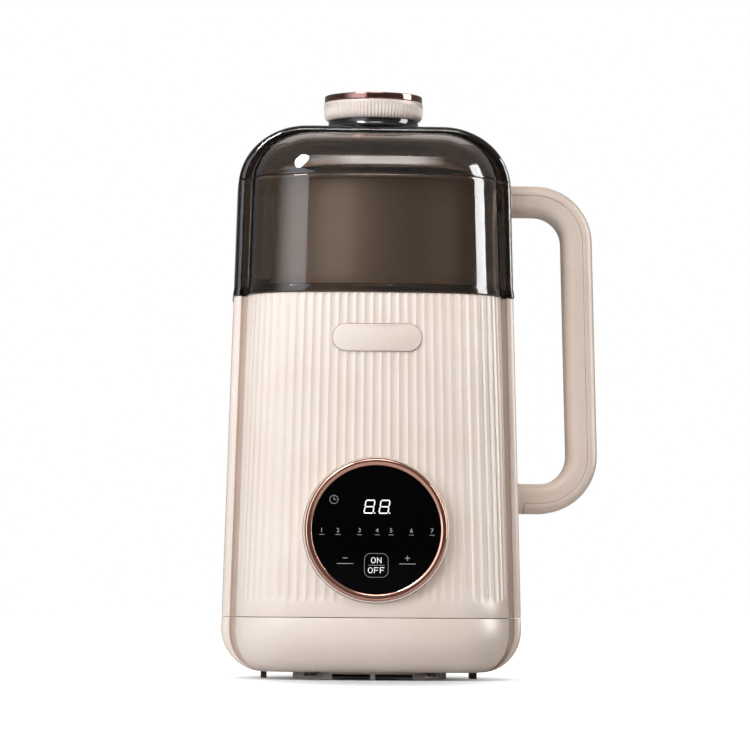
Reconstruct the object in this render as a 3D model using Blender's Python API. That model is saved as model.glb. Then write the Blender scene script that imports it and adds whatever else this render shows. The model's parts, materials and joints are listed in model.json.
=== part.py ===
"""Countertop soy milk maker, built from the separate pieces it is assembled from.

Metres, +Z up, front towards -Y, handle towards +X. The pieces are modelled
round the axis of the cup and the motor, and an empty carries them all so that
the world's origin is under the middle of the whole machine.
"""
import math
from collections import namedtuple

import bmesh
import bpy
from mathutils import Matrix, Vector

# Fits, walls and cuts
FIT_GAP = 0.0003
RUNNING_GAP = 0.0005
CUT_OVERRUN = 0.0030
PLASTIC_WALL = 0.0026
STEEL_WALL = 0.0008
SWITCH_ANGLE = math.radians(35.0)

# Heights, stacked from the table up
STANCE_HEIGHT = 0.0040
BASE_HEIGHT = 0.0287
HOUSING_HEIGHT = 0.1698
BAND_HEIGHT = 0.0620
LID_HEIGHT = 0.0295
BASE_SEAM_Z = STANCE_HEIGHT + BASE_HEIGHT
UPPER_SEAM_Z = BASE_SEAM_Z + HOUSING_HEIGHT
LID_SPLIT_Z = UPPER_SEAM_Z + BAND_HEIGHT
DOME_TOP_Z = LID_SPLIT_Z + LID_HEIGHT

# Cup, and the plan of the body round it at the base seam, from the cup's axis
CUP_RADIUS = 0.0545
SIDE_ROOM = 0.0246
FRONT_ROOM = 0.0174
REAR_ROOM = 0.0145
BODY_HALF_WIDTH = CUP_RADIUS + SIDE_ROOM
FRONT_REACH = CUP_RADIUS + FRONT_ROOM
REAR_REACH = CUP_RADIUS + REAR_ROOM
DRAFT_SHARE = 0.0288
FRONT_CORNER = 0.0345
REAR_CORNER = 0.0380
FRONT_BULGE = 0.2140
REAR_BULGE = 0.2600

# Arch groove between the front and the rear shells
GROOVE_PLANE_Y = -0.0280
GROOVE_DEPTH = 0.0042
LIP_WIDTH = 0.0038
LIP_DEPTH = 0.0032
ARCH_STEP = 0.0072
ARCH_STEP_TOP = 0.0045
LIP_STEPS = 3

# Shoulders of the smoked dome and roundings under the base
SHOULDER_WIDTH = 0.0400
SHOULDER_RISE = 0.0330
FRONT_SHOULDER_DEPTH = 0.0300
REAR_SHOULDER_DEPTH = 0.0340
BASE_ROUND = 0.0220
BASE_FRONT_ROUND = BASE_ROUND - ARCH_STEP
SHOULDER_Z = DOME_TOP_Z - SHOULDER_RISE
BASE_ROUND_Z = STANCE_HEIGHT + BASE_ROUND
BASE_LOFT_SHARES = (0.0, 0.12, 0.30, 0.55, 1.0)

# Ledge of the rear shell that the front shell's edge seats on
SEAT_LEDGE = 0.0020

# Flutes of the front shell
FLUTE_COUNT = 39
FLUTE_DEPTH = 0.0006
FLUTE_MARGIN = 0.0050
FLUTE_FOOT_RISE = 0.0070
FLUTE_FADE = 0.0045
REAR_STEPS = 24
PLAIN_FRONT_STEPS = 26

# Bead round the foot of the smoked band
BEAD_HEIGHT = 0.0034
BEAD_PROUD = 0.00035

# Control panel, round, set into the front shell
PANEL_RISE = 0.0456
PANEL_Z = BASE_SEAM_Z + PANEL_RISE
PANEL_RADIUS = 0.0379
PANEL_RIM = 0.0007
PANEL_PROUD = 0.0024
PANEL_BACK = 0.0020
BEZEL_WIDTH = 0.0024
BEZEL_CREST = 0.0006
BEZEL_SINK = 0.0011
GLASS_THICK = 0.0020
GLASS_EDGE = 0.0003
DISPLAY_WIDTH = 0.0200
DISPLAY_HEIGHT = 0.0120
DISPLAY_RISE = 0.0122
DISPLAY_THICK = 0.0030
BOARD_THICK = 0.0016
ROUND_STEPS = 48

# Bare name plate
PLATE_DROP = 0.0238
PLATE_Z = UPPER_SEAM_Z - PLATE_DROP
PLATE_HALF_LENGTH = 0.0233
PLATE_HALF_HEIGHT = 0.0071
PLATE_PROUD = 0.0008
PLATE_THICK = 0.0019
PLATE_END_STEPS = 7

# Steel cup and its seat
CUP_DEPTH = 0.1350
CUP_ABOVE_SPLIT = 0.0009
CUP_BOTTOM_ROUND = 0.0100
CUP_RIM_WIDTH = 0.0035
CUP_RIM_REACH = CUP_RADIUS + CUP_RIM_WIDTH
CUP_RIM_THICK = 0.0012
CUP_DRAIN_HOLE = 0.0092
COLLAR_THICK = 0.0024
DIMPLE_COUNT = 3
DIMPLE_REACH = 0.0016
DIMPLE_HEIGHT = 0.0028
DIMPLE_SPAN = math.radians(17.0)
DIMPLE_DROP = 0.0060
CUP_STEPS = 40

# Lid, inner lid and knob
SPINDLE_RADIUS = 0.0045
SPINDLE_FLANGE = 0.0090
SPINDLE_FLANGE_THICK = 0.0020
SPINDLE_GRIP = 0.0050
LID_SCREW_LENGTH = 0.0090
INNER_LID_THICK = 0.0024
INNER_LID_DROP = 0.0006
STEAM_HOLE_RADIUS = 0.0018
STEAM_HOLE_OFFSET = 0.0180
STEAM_HOLES = 4
SKIRT_WALL = 0.0020
SKIRT_CLEARANCE = 0.0030
LUG_HEIGHT = 0.0030
LUG_SPAN = math.radians(15.0)
LUG_TURN = math.radians(40.0)
GASKET_HEIGHT = 0.0046
GASKET_OVER_RIM = 0.0006
GASKET_REACH = CUP_RIM_REACH - GASKET_OVER_RIM
GASKET_WIDTH = 0.0025
PEDESTAL_FOOT = 0.0263
PEDESTAL_WAIST = 0.0249
PEDESTAL_HEIGHT = 0.0054
GRIP_RADIUS = 0.0265
GRIP_HEIGHT = 0.0086
GRIP_FLOOR = 0.0240
GRIP_ROUND = 0.0024
RING_RADIUS = 0.0262
RING_HEIGHT = 0.0034
KNOB_CAP_DROP = 0.0006
RING_WIDTH = 0.0030
RING_EDGE = 0.0006
LID_LIFT_GAP = 0.0004

# Blade drive, stacked down from the cup's floor
BUSH_RADIUS = 0.0087
BUSH_BORE = 0.0062
BUSH_FLANGE_RADIUS = 0.0140
BUSH_FLANGE_THICK = 0.0026
BUSH_NUT_RADIUS = 0.0150
BUSH_NUT_THICK = 0.0040
SEAL_HEIGHT = 0.0024
SEAL_WALL = 0.0012
SLEEVE_HEIGHT = 0.0040
SHAFT_RADIUS = 0.0040
HEATER_INSET = 0.0095
HEATER_THICK = 0.0060
HEATER_HOLE = 0.0200
FRAME_THICK = 0.0034
FRAME_INSET = 0.0025
FRAME_LEG_RADIUS = 0.0034
FRAME_LEG_ROOM = 0.0050
FRAME_LEG_COUNT = 4
MOTOR_RADIUS = 0.0340
MOTOR_HEIGHT = 0.0560
MOTOR_CAN_WALL = 0.0020
STATOR_THICK = 0.0100
ROTOR_GAP = 0.0006
ROTOR_MARGIN = 0.0080
BEARING_RADIUS = 0.0090
BEARING_HEIGHT = 0.0050
FAN_RADIUS = 0.0330
FAN_HEIGHT = 0.0070
FAN_HUB_RADIUS = 0.0080
FAN_BLADES = 9
FAN_DROP = 0.0040
FAN_DISC_THICK = 0.0015
FAN_VANE_THICK = 0.0014

# Blades above the cup's floor
BLADE_REACH = 0.0235
BLADE_WIDTH = 0.0115
BLADE_THICK = 0.0015
BLADE_HUB_RADIUS = 0.0075
BLADE_HUB_HEIGHT = 0.0060
BLADE_NUT_RADIUS = 0.0068
BLADE_NUT_HEIGHT = 0.0055
BLADE_RISE = 0.0085
BLADE_TURN = math.radians(90.0)

# Probes
PROBE_RADIUS = 0.0030
PROBE_RISE = 0.0120
PROBE_INSET = 0.0205
PROBE_OFFSET = CUP_RADIUS - PROBE_INSET
PROBE_ANGLE = math.radians(205.0)
PROBE_HEAD = 0.0045
LEVEL_PROBE_ANGLE = math.radians(67.0)
LEVEL_PROBE_DROP = 0.0200
LEVEL_PROBE_RADIUS = 0.0024
LEVEL_PROBE_INSIDE = 0.0090
LEVEL_PROBE_HEAD = 0.0042

# Underside
FLOOR_THICK = 0.0026
SKIRT_RING_ROOM = 0.0070
SKIRT_RING_RADIUS = MOTOR_RADIUS + SKIRT_RING_ROOM
SKIRT_RING_WALL = 0.0024
SKIRT_RIB = 0.0026
SKIRT_WINDOW = 0.0200
SKIRT_WINDOW_RISE = 0.0030
VENT_COUNT = 7
VENT_WIDTH = 0.0030
VENT_LENGTH = 0.0440
VENT_PITCH = 0.0080
FOOT_EDGE = 0.0008
FOOT_X = BODY_HALF_WIDTH - BASE_ROUND - FOOT_EDGE
FOOT_Y = 0.0160
FOOT_THICK = 0.0029
FOOT_LENGTH = 0.0240
SCREW_RADIUS = 0.0016
SCREW_HEAD_RADIUS = 0.0032
SCREW_HEAD_THICK = 0.0018
SCREW_LENGTH = 0.0100

# Power board and inlet
POWER_BOARD_WIDTH = 0.0760
POWER_BOARD_HEIGHT = 0.0440
POWER_BOARD_DROP = 0.0364
POWER_BOARD_LEG_GAP = 0.0081
BOARD_POST_RADIUS = 0.0030
BOARD_POST_INSET = 0.0060
INLET_RISE = 0.0233
INLET_Z = BASE_SEAM_Z + INLET_RISE
INLET_WIDTH = 0.0300
INLET_HEIGHT = 0.0250
INLET_DEPTH = 0.0180
INLET_PROUD = 0.0012
INLET_WALL = 0.0024
INLET_FLOOR = 0.0040
PIN_WIDTH = 0.0020
PIN_HEIGHT = 0.0040
PIN_LENGTH = 0.0110
PIN_SPREAD = 0.0070
PIN_DROP = 0.0030

# Handle, in the plane of the cup's axis
HANDLE_Y = 0.0040
HANDLE_DEPTH = 0.0260
HANDLE_THICK = 0.0159
HANDLE_TOP_DROP = 0.0078
HANDLE_TOP_Z = LID_SPLIT_Z - HANDLE_TOP_DROP
HANDLE_LOW_RISE = 0.0640
HANDLE_LOW_Z = BASE_SEAM_Z + HANDLE_LOW_RISE
HANDLE_REACH = 0.0366
HANDLE_BEND = 0.0200
HANDLE_EDGE = 0.0060
HANDLE_EDGE_STEPS = 4
HANDLE_SEAM_SHARE = 0.66
HANDLE_ROOT_LENGTH = 0.0040
HANDLE_FLARE = 0.0022
HANDLE_FLARE_STEPS = 3
HANDLE_BEND_STEPS = 8
HANDLE_SCREW_RADIUS = 0.0019
HANDLE_SCREW_HEAD = 0.0036
HANDLE_SCREW_HEAD_THICK = 0.0020
HANDLE_SCREW_GRIP = 0.0090
HANDLE_SCREW_SHIFT = 0.0020

# Colours, linear
CREAM = (0.745, 0.640, 0.555)
CREAM_DARK = (0.620, 0.510, 0.430)
SMOKE = (0.060, 0.045, 0.036)
ROSE_GOLD = (0.560, 0.255, 0.180)
BLACK = (0.010, 0.010, 0.011)
RUBBER = (0.030, 0.028, 0.027)
STEEL = (0.560, 0.550, 0.530)
ALUMINIUM = (0.500, 0.510, 0.520)
BRASS = (0.560, 0.410, 0.170)
BOARD_GREEN = (0.030, 0.130, 0.060)
COPPER = (0.550, 0.220, 0.120)

Plan = namedtuple("Plan", "rear_half front_half front rear front_corner rear_corner")


def remove_everything():
    """Start from an empty scene."""
    for item in list(bpy.data.objects):
        bpy.data.objects.remove(item)


# Plan of the body at any height

def rounding(rise, total):
    """How far an elliptic quarter has turned in, as a share, after a rise."""
    share = min(1.0, max(0.0, rise / total))
    return 1.0 - math.sqrt(1.0 - share * share)


def plan_at(z):
    """Half widths, reaches and corner radii of the body at a height."""
    lean = DRAFT_SHARE * (min(max(z, BASE_ROUND_Z), SHOULDER_Z) - BASE_SEAM_Z)
    over_rear = rounding(z - SHOULDER_Z, SHOULDER_RISE)
    over_front = rounding(z - SHOULDER_Z, SHOULDER_RISE - ARCH_STEP_TOP)
    under = rounding(BASE_ROUND_Z - z, BASE_ROUND)
    half = BODY_HALF_WIDTH - lean
    return Plan(
        half - SHOULDER_WIDTH * over_rear - BASE_ROUND * under,
        half - ARCH_STEP - (SHOULDER_WIDTH - ARCH_STEP) * over_front
        - BASE_FRONT_ROUND * under,
        FRONT_REACH - lean - FRONT_SHOULDER_DEPTH * over_front - BASE_ROUND * under,
        REAR_REACH - lean - REAR_SHOULDER_DEPTH * over_rear - BASE_ROUND * under,
        FRONT_CORNER - FRONT_SHOULDER_DEPTH * over_front - BASE_FRONT_ROUND * under,
        REAR_CORNER - REAR_SHOULDER_DEPTH * over_rear - BASE_ROUND * under)


def end_lengths(half, reach, corner, bulge, stop):
    """Lengths of half an end: bulged face, corner and straight side to the stop."""
    centre = reach - bulge
    run = math.sqrt((bulge - corner) ** 2 - (half - corner) ** 2)
    spread = math.asin((half - corner) / (bulge - corner))
    return bulge * spread, corner * (math.pi / 2 - spread), centre + run - stop, centre + run


def end_point(half, reach, corner, bulge, stop, share):
    """Point and outward normal on a rounded end, share -1 to 1 from side to side."""
    face, turn, side, corner_centre = end_lengths(half, reach, corner, bulge, stop)
    walked = abs(share) * (face + turn + side)
    hand = math.copysign(1.0, share)
    if walked <= face:
        angle = walked / bulge
        normal = (hand * math.sin(angle), math.cos(angle))
        return (bulge * normal[0], reach - bulge + bulge * normal[1]), normal
    if walked <= face + turn:
        angle = math.pi / 2 - face / bulge - (walked - face) / corner
        normal = (hand * math.cos(angle), math.sin(angle))
        across = hand * (half - corner) + corner * normal[0]
        return (across, corner_centre + corner * normal[1]), normal
    return (hand * half, corner_centre - (walked - face - turn)), (hand, 0.0)


def even_shares(steps):
    """Evenly spread shares from -1 to 1."""
    return [2.0 * i / steps - 1.0 for i in range(steps + 1)]


def flute_profile():
    """Shares across the front with each one's depth: plain margins, then scallops."""
    size = plan_at(UPPER_SEAM_Z)
    face, turn, side, _ = end_lengths(size.front_half, size.front, size.front_corner,
                                      FRONT_BULGE, -GROOVE_PLANE_Y)
    edge = 1.0 - FLUTE_MARGIN / (face + turn + side)
    pairs = [(-1.0, 0.0), (-(1.0 + edge) / 2, 0.0)]
    for flute in range(FLUTE_COUNT):
        for step in range(4):
            across = step / 4
            share = edge * (2.0 * (flute + across) / FLUTE_COUNT - 1.0)
            pairs.append((share, 4.0 * across * (1.0 - across)))
    return pairs + [(edge, 0.0), ((1.0 + edge) / 2, 0.0), (1.0, 0.0)]


def front_points(z, inset, stop_y, profile, depth=0.0):
    """Front outline at a height from the left to the right, as (x, y)."""
    size = plan_at(z)
    points = []
    for share, scallop in profile:
        place, normal = end_point(size.front_half - inset, size.front - inset,
                                  max(size.front_corner - inset, FIT_GAP), FRONT_BULGE,
                                  -stop_y, share)
        sink = depth * scallop
        points.append((place[0] - sink * normal[0], -(place[1] - sink * normal[1])))
    return points


def rear_points(z, inset, stop_y, steps=REAR_STEPS):
    """Rear outline at a height from the right to the left, as (x, y)."""
    size = plan_at(z)
    points = []
    for share in reversed(even_shares(steps)):
        place, _ = end_point(size.rear_half - inset, size.rear - inset,
                             max(size.rear_corner - inset, FIT_GAP), REAR_BULGE, stop_y, share)
        points.append(place)
    return points


def groove_share(z):
    """How much of the arch groove is left, down to none under the base."""
    return 1.0 - rounding(BASE_ROUND_Z - z, BASE_ROUND)


def groove_floor_y(z):
    """Depth position of the arch groove's floor."""
    return GROOVE_PLANE_Y + GROOVE_DEPTH * groove_share(z)


def lip_end_y(z):
    """Where the rounded lip runs into the rear shell's side."""
    return GROOVE_PLANE_Y + LIP_DEPTH * groove_share(z)


def lip_points(z, proud=0.0):
    """Right side of the arch groove, from the front shell's side out to the rear's."""
    size = plan_at(z)
    width = LIP_WIDTH * groove_share(z)
    depth = LIP_DEPTH * groove_share(z)
    lip_x = size.rear_half - width + proud
    points = [(size.front_half + proud, groove_floor_y(z)), (lip_x, groove_floor_y(z))]
    for step in range(LIP_STEPS + 1):
        angle = math.pi / 2 * step / LIP_STEPS
        points.append((lip_x + width * math.sin(angle),
                       GROOVE_PLANE_Y + depth * (1.0 - math.cos(angle))))
    return points


def mirrored(points):
    """The same points on the other side, walked the other way."""
    return [(-x, y) for x, y in reversed(points)]


def at_height(points, z):
    """Plan points lifted to a height."""
    return [Vector((x, y, z)) for x, y in points]


# Mesh builders

def add_face(bm, corners):
    """A face over its different corners, or nothing where fewer than three are left."""
    kept = []
    for vert in corners:
        if vert not in kept:
            kept.append(vert)
    if len(kept) > 2 and not bm.faces.get(kept):
        bm.faces.new(kept)


def make_vert(bm, known, place):
    """One vertex for each place, shared by all that meet there."""
    key = tuple(round(value, 7) for value in place)
    if key not in known:
        known[key] = bm.verts.new(place)
    return known[key]


def wall_mesh(sections, closed):
    """Loft of a wall: each section is an outer and an inner row of equal length."""
    bm = bmesh.new()
    known = {}
    rows = [[[make_vert(bm, known, p) for p in row] for row in section] for section in sections]
    count = len(rows[0][0])
    spans = count if closed else count - 1
    for low, high in zip(rows, rows[1:]):
        for i in range(spans):
            j = (i + 1) % count
            add_face(bm, (low[0][i], low[0][j], high[0][j], high[0][i]))
            add_face(bm, (low[1][j], low[1][i], high[1][i], high[1][j]))
        if not closed:
            add_face(bm, (low[1][0], low[0][0], high[0][0], high[1][0]))
            add_face(bm, (low[0][-1], low[1][-1], high[1][-1], high[0][-1]))
    for i in range(spans):
        j = (i + 1) % count
        add_face(bm, (rows[0][0][j], rows[0][0][i], rows[0][1][i], rows[0][1][j]))
        add_face(bm, (rows[-1][0][i], rows[-1][0][j], rows[-1][1][j], rows[-1][1][i]))
    return bm


def side_faces(bm, rows, closed):
    """Quads between rows of vertices that follow each other."""
    count = len(rows[0])
    for low, high in zip(rows, rows[1:]):
        for i in range(count if closed else count - 1):
            j = (i + 1) % count
            add_face(bm, (low[i], low[j], high[j], high[i]))


def solid_mesh(loops):
    """Loft of a solid through closed loops of equal length, flat at both ends."""
    bm = bmesh.new()
    known = {}
    rows = [[make_vert(bm, known, p) for p in loop] for loop in loops]
    side_faces(bm, rows, closed=True)
    add_face(bm, tuple(reversed(rows[0])))
    add_face(bm, rows[-1])
    return bm


def tub_mesh(outer_loops, inner_loops):
    """A wall with a floor: closed loops outside and inside, joined at the top."""
    bm = bmesh.new()
    known = {}
    outer = [[make_vert(bm, known, p) for p in loop] for loop in outer_loops]
    inner = [[make_vert(bm, known, p) for p in loop] for loop in inner_loops]
    side_faces(bm, outer, closed=True)
    side_faces(bm, inner, closed=True)
    side_faces(bm, [outer[-1], inner[-1]], closed=True)
    add_face(bm, outer[0])
    add_face(bm, inner[0])
    return bm


def open_wall_mesh(outer_rows, inner_rows):
    """A wall that is open at its two ends; outside and inside have their own rows."""
    bm = bmesh.new()
    known = {}
    outer = [[make_vert(bm, known, p) for p in row] for row in outer_rows]
    inner = [[make_vert(bm, known, p) for p in row] for row in inner_rows]
    side_faces(bm, outer, closed=False)
    side_faces(bm, inner, closed=False)
    for row, other in ((outer[0], inner[0]), (outer[-1], inner[-1])):
        add_face(bm, row + other[::-1])
    for end in (0, -1):
        add_face(bm, [row[end] for row in outer] + [row[end] for row in inner[::-1]])
    return bm


def turned_mesh(profile, steps, radius_at=None):
    """Solid of revolution about Z; the profile is a closed loop of (radius, z)."""
    bm = bmesh.new()
    known = {}
    rings = []
    for index in range(steps):
        angle = 2.0 * math.pi * index / steps
        ring = []
        for number, (radius, z) in enumerate(profile):
            reach = radius_at(index, number, radius) if radius_at else radius
            place = (reach * math.cos(angle), reach * math.sin(angle), z)
            ring.append(make_vert(bm, known, place))
        rings.append(ring)
    for index in range(steps):
        here, there = rings[index], rings[(index + 1) % steps]
        for i in range(len(profile)):
            j = (i + 1) % len(profile)
            add_face(bm, (here[i], there[i], there[j], here[j]))
    return bm


def box_mesh(low, high):
    """A box between two corners."""
    bm = bmesh.new()
    size = Vector(high) - Vector(low)
    bmesh.ops.create_cube(bm, size=1.0)
    bmesh.ops.scale(bm, vec=size, verts=bm.verts)
    bmesh.ops.translate(bm, vec=(Vector(high) + Vector(low)) / 2, verts=bm.verts)
    return bm


def rod_mesh(start, end, radius, steps=20):
    """A round rod between two points."""
    bm = bmesh.new()
    start, end = Vector(start), Vector(end)
    along = end - start
    turn = Vector((0, 0, 1)).rotation_difference(along).to_matrix().to_4x4()
    place = Matrix.Translation((start + end) / 2) @ turn
    bmesh.ops.create_cone(bm, cap_ends=True, segments=steps, radius1=radius, radius2=radius,
                          depth=along.length, matrix=place)
    return bm


def arc_block_mesh(inner, outer, low, high, middle, span, steps=5):
    """A block that follows an arc about Z."""
    sections = []
    for z in (low, high):
        angles = [middle + span * (i / steps - 0.5) for i in range(steps + 1)]
        sections.append(([Vector((outer * math.cos(a), outer * math.sin(a), z)) for a in angles],
                         [Vector((inner * math.cos(a), inner * math.sin(a), z)) for a in angles]))
    return wall_mesh(sections, closed=False)


def join_meshes(bm, others):
    """Put other meshes into one, still as separate closed shells."""
    for other in others:
        carrier = bpy.data.meshes.new("carrier")
        other.to_mesh(carrier)
        other.free()
        bm.from_mesh(carrier)
        bpy.data.meshes.remove(carrier)
    return bm


# Objects and materials

def finish(name, colour, roughness, metallic=0.0, alpha=1.0):
    """A plain material for one piece."""
    material = bpy.data.materials.new(name)
    material.use_nodes = True
    shader = material.node_tree.nodes["Principled BSDF"]
    shader.inputs["Base Color"].default_value = (*colour, 1.0)
    shader.inputs["Roughness"].default_value = roughness
    shader.inputs["Metallic"].default_value = metallic
    shader.inputs["Alpha"].default_value = alpha
    material.diffuse_color = (*colour, alpha)
    return material


def add_piece(name, bm, parent, material, smooth=True):
    """Turn a mesh into one named piece under its carrier."""
    bmesh.ops.recalc_face_normals(bm, faces=bm.faces)
    mesh = bpy.data.meshes.new(name)
    bm.to_mesh(mesh)
    bm.free()
    if smooth:
        mesh.shade_smooth()
        mesh.set_sharp_from_angle(angle=SWITCH_ANGLE)
    mesh.materials.append(material)
    piece = bpy.data.objects.new(name, mesh)
    bpy.context.scene.collection.objects.link(piece)
    piece.parent = parent
    return piece


def shape_with(piece, name, bm, operation):
    """Cut or join a piece with a hidden helper."""
    bmesh.ops.recalc_face_normals(bm, faces=bm.faces)
    mesh = bpy.data.meshes.new(name)
    bm.to_mesh(mesh)
    bm.free()
    helper = bpy.data.objects.new(name, mesh)
    bpy.context.scene.collection.objects.link(helper)
    helper.parent = piece.parent
    helper.hide_render = True
    helper.display_type = "WIRE"
    step = piece.modifiers.new(name, "BOOLEAN")
    step.object = helper
    step.operation = operation
    step.solver = "EXACT"
    return helper


def cut(piece, name, bm):
    """Take a helper's shape out of a piece."""
    return shape_with(piece, name, bm, "DIFFERENCE")


def weld_on(piece, name, bm):
    """Fuse a helper's shape to a piece."""
    return shape_with(piece, name, bm, "UNION")


def add_carrier(name, place, parent=None):
    """An empty that carries the pieces of one body."""
    carrier = bpy.data.objects.new(name, None)
    bpy.context.scene.collection.objects.link(carrier)
    carrier.parent = parent
    carrier.location = place
    return carrier


# Housing shells

def outer_row(z, profile, proud=0.0):
    """Outside of the body at a height: front, groove, rear and groove again."""
    lip = lip_points(z, proud)
    front = front_points(z, -proud, groove_floor_y(z), profile)
    rear = rear_points(z, -proud, lip_end_y(z))
    return front + lip + rear + mirrored(lip)


def inner_row(z, inset, web, profile):
    """Inside of the body at a height, matched point for point to the outside."""
    size = plan_at(z)
    web_y = groove_floor_y(z) + web
    turn = [(size.front_half - inset, web_y)]
    turn += [(size.rear_half - inset, web_y)] * (LIP_STEPS + 2)
    return (front_points(z, inset, web_y, profile) + turn + rear_points(z, inset, web_y)
            + mirrored(turn))


def plain_profile(steps):
    """Front outline shares with no flutes."""
    return [(share, 0.0) for share in even_shares(steps)]


def make_base_shell(parent):
    """Base tray: rounded wall and floor, skirt ring, vents and screw holes."""
    profile = plain_profile(PLAIN_FRONT_STEPS)
    floor = base_floor_z()
    rise = BASE_ROUND_Z - STANCE_HEIGHT
    heights = [STANCE_HEIGHT + rise * share for share in BASE_LOFT_SHARES]
    seam = BASE_SEAM_Z - FIT_GAP / 2
    outer = [at_height(outer_row(z, profile), z) for z in heights + [seam]]
    inner = [at_height(inner_row(z, PLASTIC_WALL, PLASTIC_WALL, profile), z)
             for z in [floor] + heights[2:] + [seam]]
    shell = add_piece("base_shell", tub_mesh(outer, inner), parent,
                      finish("base_cream", CREAM, 0.42))
    ring = ring_profile(SKIRT_RING_RADIUS - SKIRT_RING_WALL, SKIRT_RING_RADIUS, 0.0,
                        STANCE_HEIGHT + FLOOR_THICK / 2)
    weld_on(shell, "skirt_ring", turned_mesh(ring, ROUND_STEPS))
    reach = SKIRT_RING_RADIUS + CUT_OVERRUN
    for side, hand in (("left", -1.0), ("right", 1.0)):
        near, far = hand * SKIRT_RIB / 2, hand * (SKIRT_RIB / 2 + SKIRT_WINDOW)
        cut(shell, f"skirt_window_{side}", box_mesh((min(near, far), -reach, -CUT_OVERRUN),
                                                    (max(near, far), reach, SKIRT_WINDOW_RISE)))
    slots = []
    for index in range(VENT_COUNT):
        x = VENT_PITCH * (index - (VENT_COUNT - 1) / 2)
        slots.append(box_mesh((x - VENT_WIDTH / 2, -VENT_LENGTH / 2, SKIRT_WINDOW_RISE),
                              (x + VENT_WIDTH / 2, VENT_LENGTH / 2, floor + CUT_OVERRUN)))
    cut(shell, "vent_slots", join_meshes(slots[0], slots[1:]))
    holes = [rod_mesh((x, y, SKIRT_WINDOW_RISE), (x, y, floor + CUT_OVERRUN),
                      SCREW_RADIUS + FIT_GAP, 12) for x, y in leg_places()]
    cut(shell, "floor_screw_holes", join_meshes(holes[0], holes[1:]))
    return shell


def make_front_shell(parent):
    """Fluted front shell, open to the rear along the arch groove."""
    profile = flute_profile()
    stop_y = groove_floor_y(UPPER_SEAM_Z) - FIT_GAP
    bottom = BASE_SEAM_Z + FIT_GAP / 2
    foot = bottom + FLUTE_FOOT_RISE
    heights = [(bottom, 0.0), (foot, 0.0), (foot + FLUTE_FADE / 2, 0.5),
               (foot + FLUTE_FADE, 1.0), (UPPER_SEAM_Z - FIT_GAP / 2, 1.0)]
    outer = [at_height(front_points(z, 0.0, stop_y, profile, FLUTE_DEPTH * share), z)
             for z, share in heights]
    plain = plain_profile(PLAIN_FRONT_STEPS)
    inner = [at_height(front_points(z, PLASTIC_WALL, stop_y, plain), z)
             for z in (heights[0][0], heights[-1][0])]
    shell = add_piece("front_shell", open_wall_mesh(outer, inner), parent,
                      finish("front_cream", CREAM, 0.42))
    cut(shell, "panel_opening", panel_opening_mesh())
    cut(shell, "plate_opening", plate_mesh(FIT_GAP, PLATE_PROUD + CUT_OVERRUN,
                                           PLATE_THICK - PLATE_PROUD + FIT_GAP))
    return shell


def make_rear_shell(parent):
    """Rear shell, with the arch lip, the board posts and the holes it carries."""
    reach_in = PLASTIC_WALL + SEAT_LEDGE
    outer, inner = [], []
    for z in (BASE_SEAM_Z + FIT_GAP / 2, UPPER_SEAM_Z - FIT_GAP / 2):
        size = plan_at(z)
        web_y = groove_floor_y(z) + PLASTIC_WALL
        lip = lip_points(z)
        lip[0] = (size.front_half - reach_in, groove_floor_y(z))
        outer.append(at_height(lip + rear_points(z, 0.0, lip_end_y(z)) + mirrored(lip), z))
        turn = [(size.front_half - reach_in, web_y)]
        inner.append(at_height(turn + rear_points(z, PLASTIC_WALL, web_y) + mirrored(turn), z))
    shell = add_piece("rear_shell", open_wall_mesh(outer, inner), parent,
                      finish("rear_cream", CREAM, 0.42))
    cut(shell, "inlet_opening", inlet_block(FIT_GAP, CUT_OVERRUN))
    for number, (x, z) in enumerate(board_posts()):
        back_y = plan_at(z).rear - PLASTIC_WALL / 2 - bulge_drop(x)
        weld_on(shell, f"board_post_{number + 1}",
                rod_mesh((x, board_back_y() + FIT_GAP, z), (x, back_y, z), BOARD_POST_RADIUS, 12))
    cut(shell, "low_handle_hole", handle_screw_rod(low_screw_z(), FIT_GAP, CUT_OVERRUN))
    return shell


def bulge_drop(x):
    """How far the bulged rear face has fallen back at a distance from the middle."""
    return REAR_BULGE - math.sqrt(REAR_BULGE ** 2 - x * x)


def make_upper_shell(parent):
    """Fixed smoked band with the bead round its foot."""
    profile = plain_profile(PLAIN_FRONT_STEPS)
    bottom = UPPER_SEAM_Z + FIT_GAP / 2
    top = LID_SPLIT_Z - LID_LIFT_GAP / 2
    heights = [(bottom, BEAD_PROUD), (bottom + BEAD_HEIGHT, BEAD_PROUD),
               (bottom + BEAD_HEIGHT + BEAD_PROUD, 0.0), (SHOULDER_Z, 0.0), (top, 0.0)]
    sections = []
    for z, proud in heights:
        inner = inner_row(z, PLASTIC_WALL, PLASTIC_WALL, profile)
        sections.append((at_height(outer_row(z, profile, proud), z), at_height(inner, z)))
    shell = add_piece("upper_shell", wall_mesh(sections, closed=True), parent,
                      finish("smoked_band", SMOKE, 0.08, alpha=0.55))
    cut(shell, "top_handle_hole", handle_screw_rod(top_screw_z(), FIT_GAP, CUT_OVERRUN))
    return shell


# Lid

def shoulder_heights(bottom, top_rise, steps):
    """Heights spread evenly in angle over the shoulder, from a bottom up to its top."""
    start = math.asin(max(0.0, bottom - SHOULDER_Z) / top_rise)
    return [SHOULDER_Z + top_rise * math.sin(start + (math.pi / 2 - start) * i / steps)
            for i in range(steps + 1)]


def rear_dome_loops(inset, bottom, stop_y, steps=8):
    """Closed loops of the rear dome, square to the front at the stop."""
    loops = []
    for z in shoulder_heights(max(bottom, SHOULDER_Z), SHOULDER_RISE, steps):
        points = rear_points(z, inset, stop_y)
        loops.append(at_height(points, z - inset * (z > bottom)))
    return loops


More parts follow.
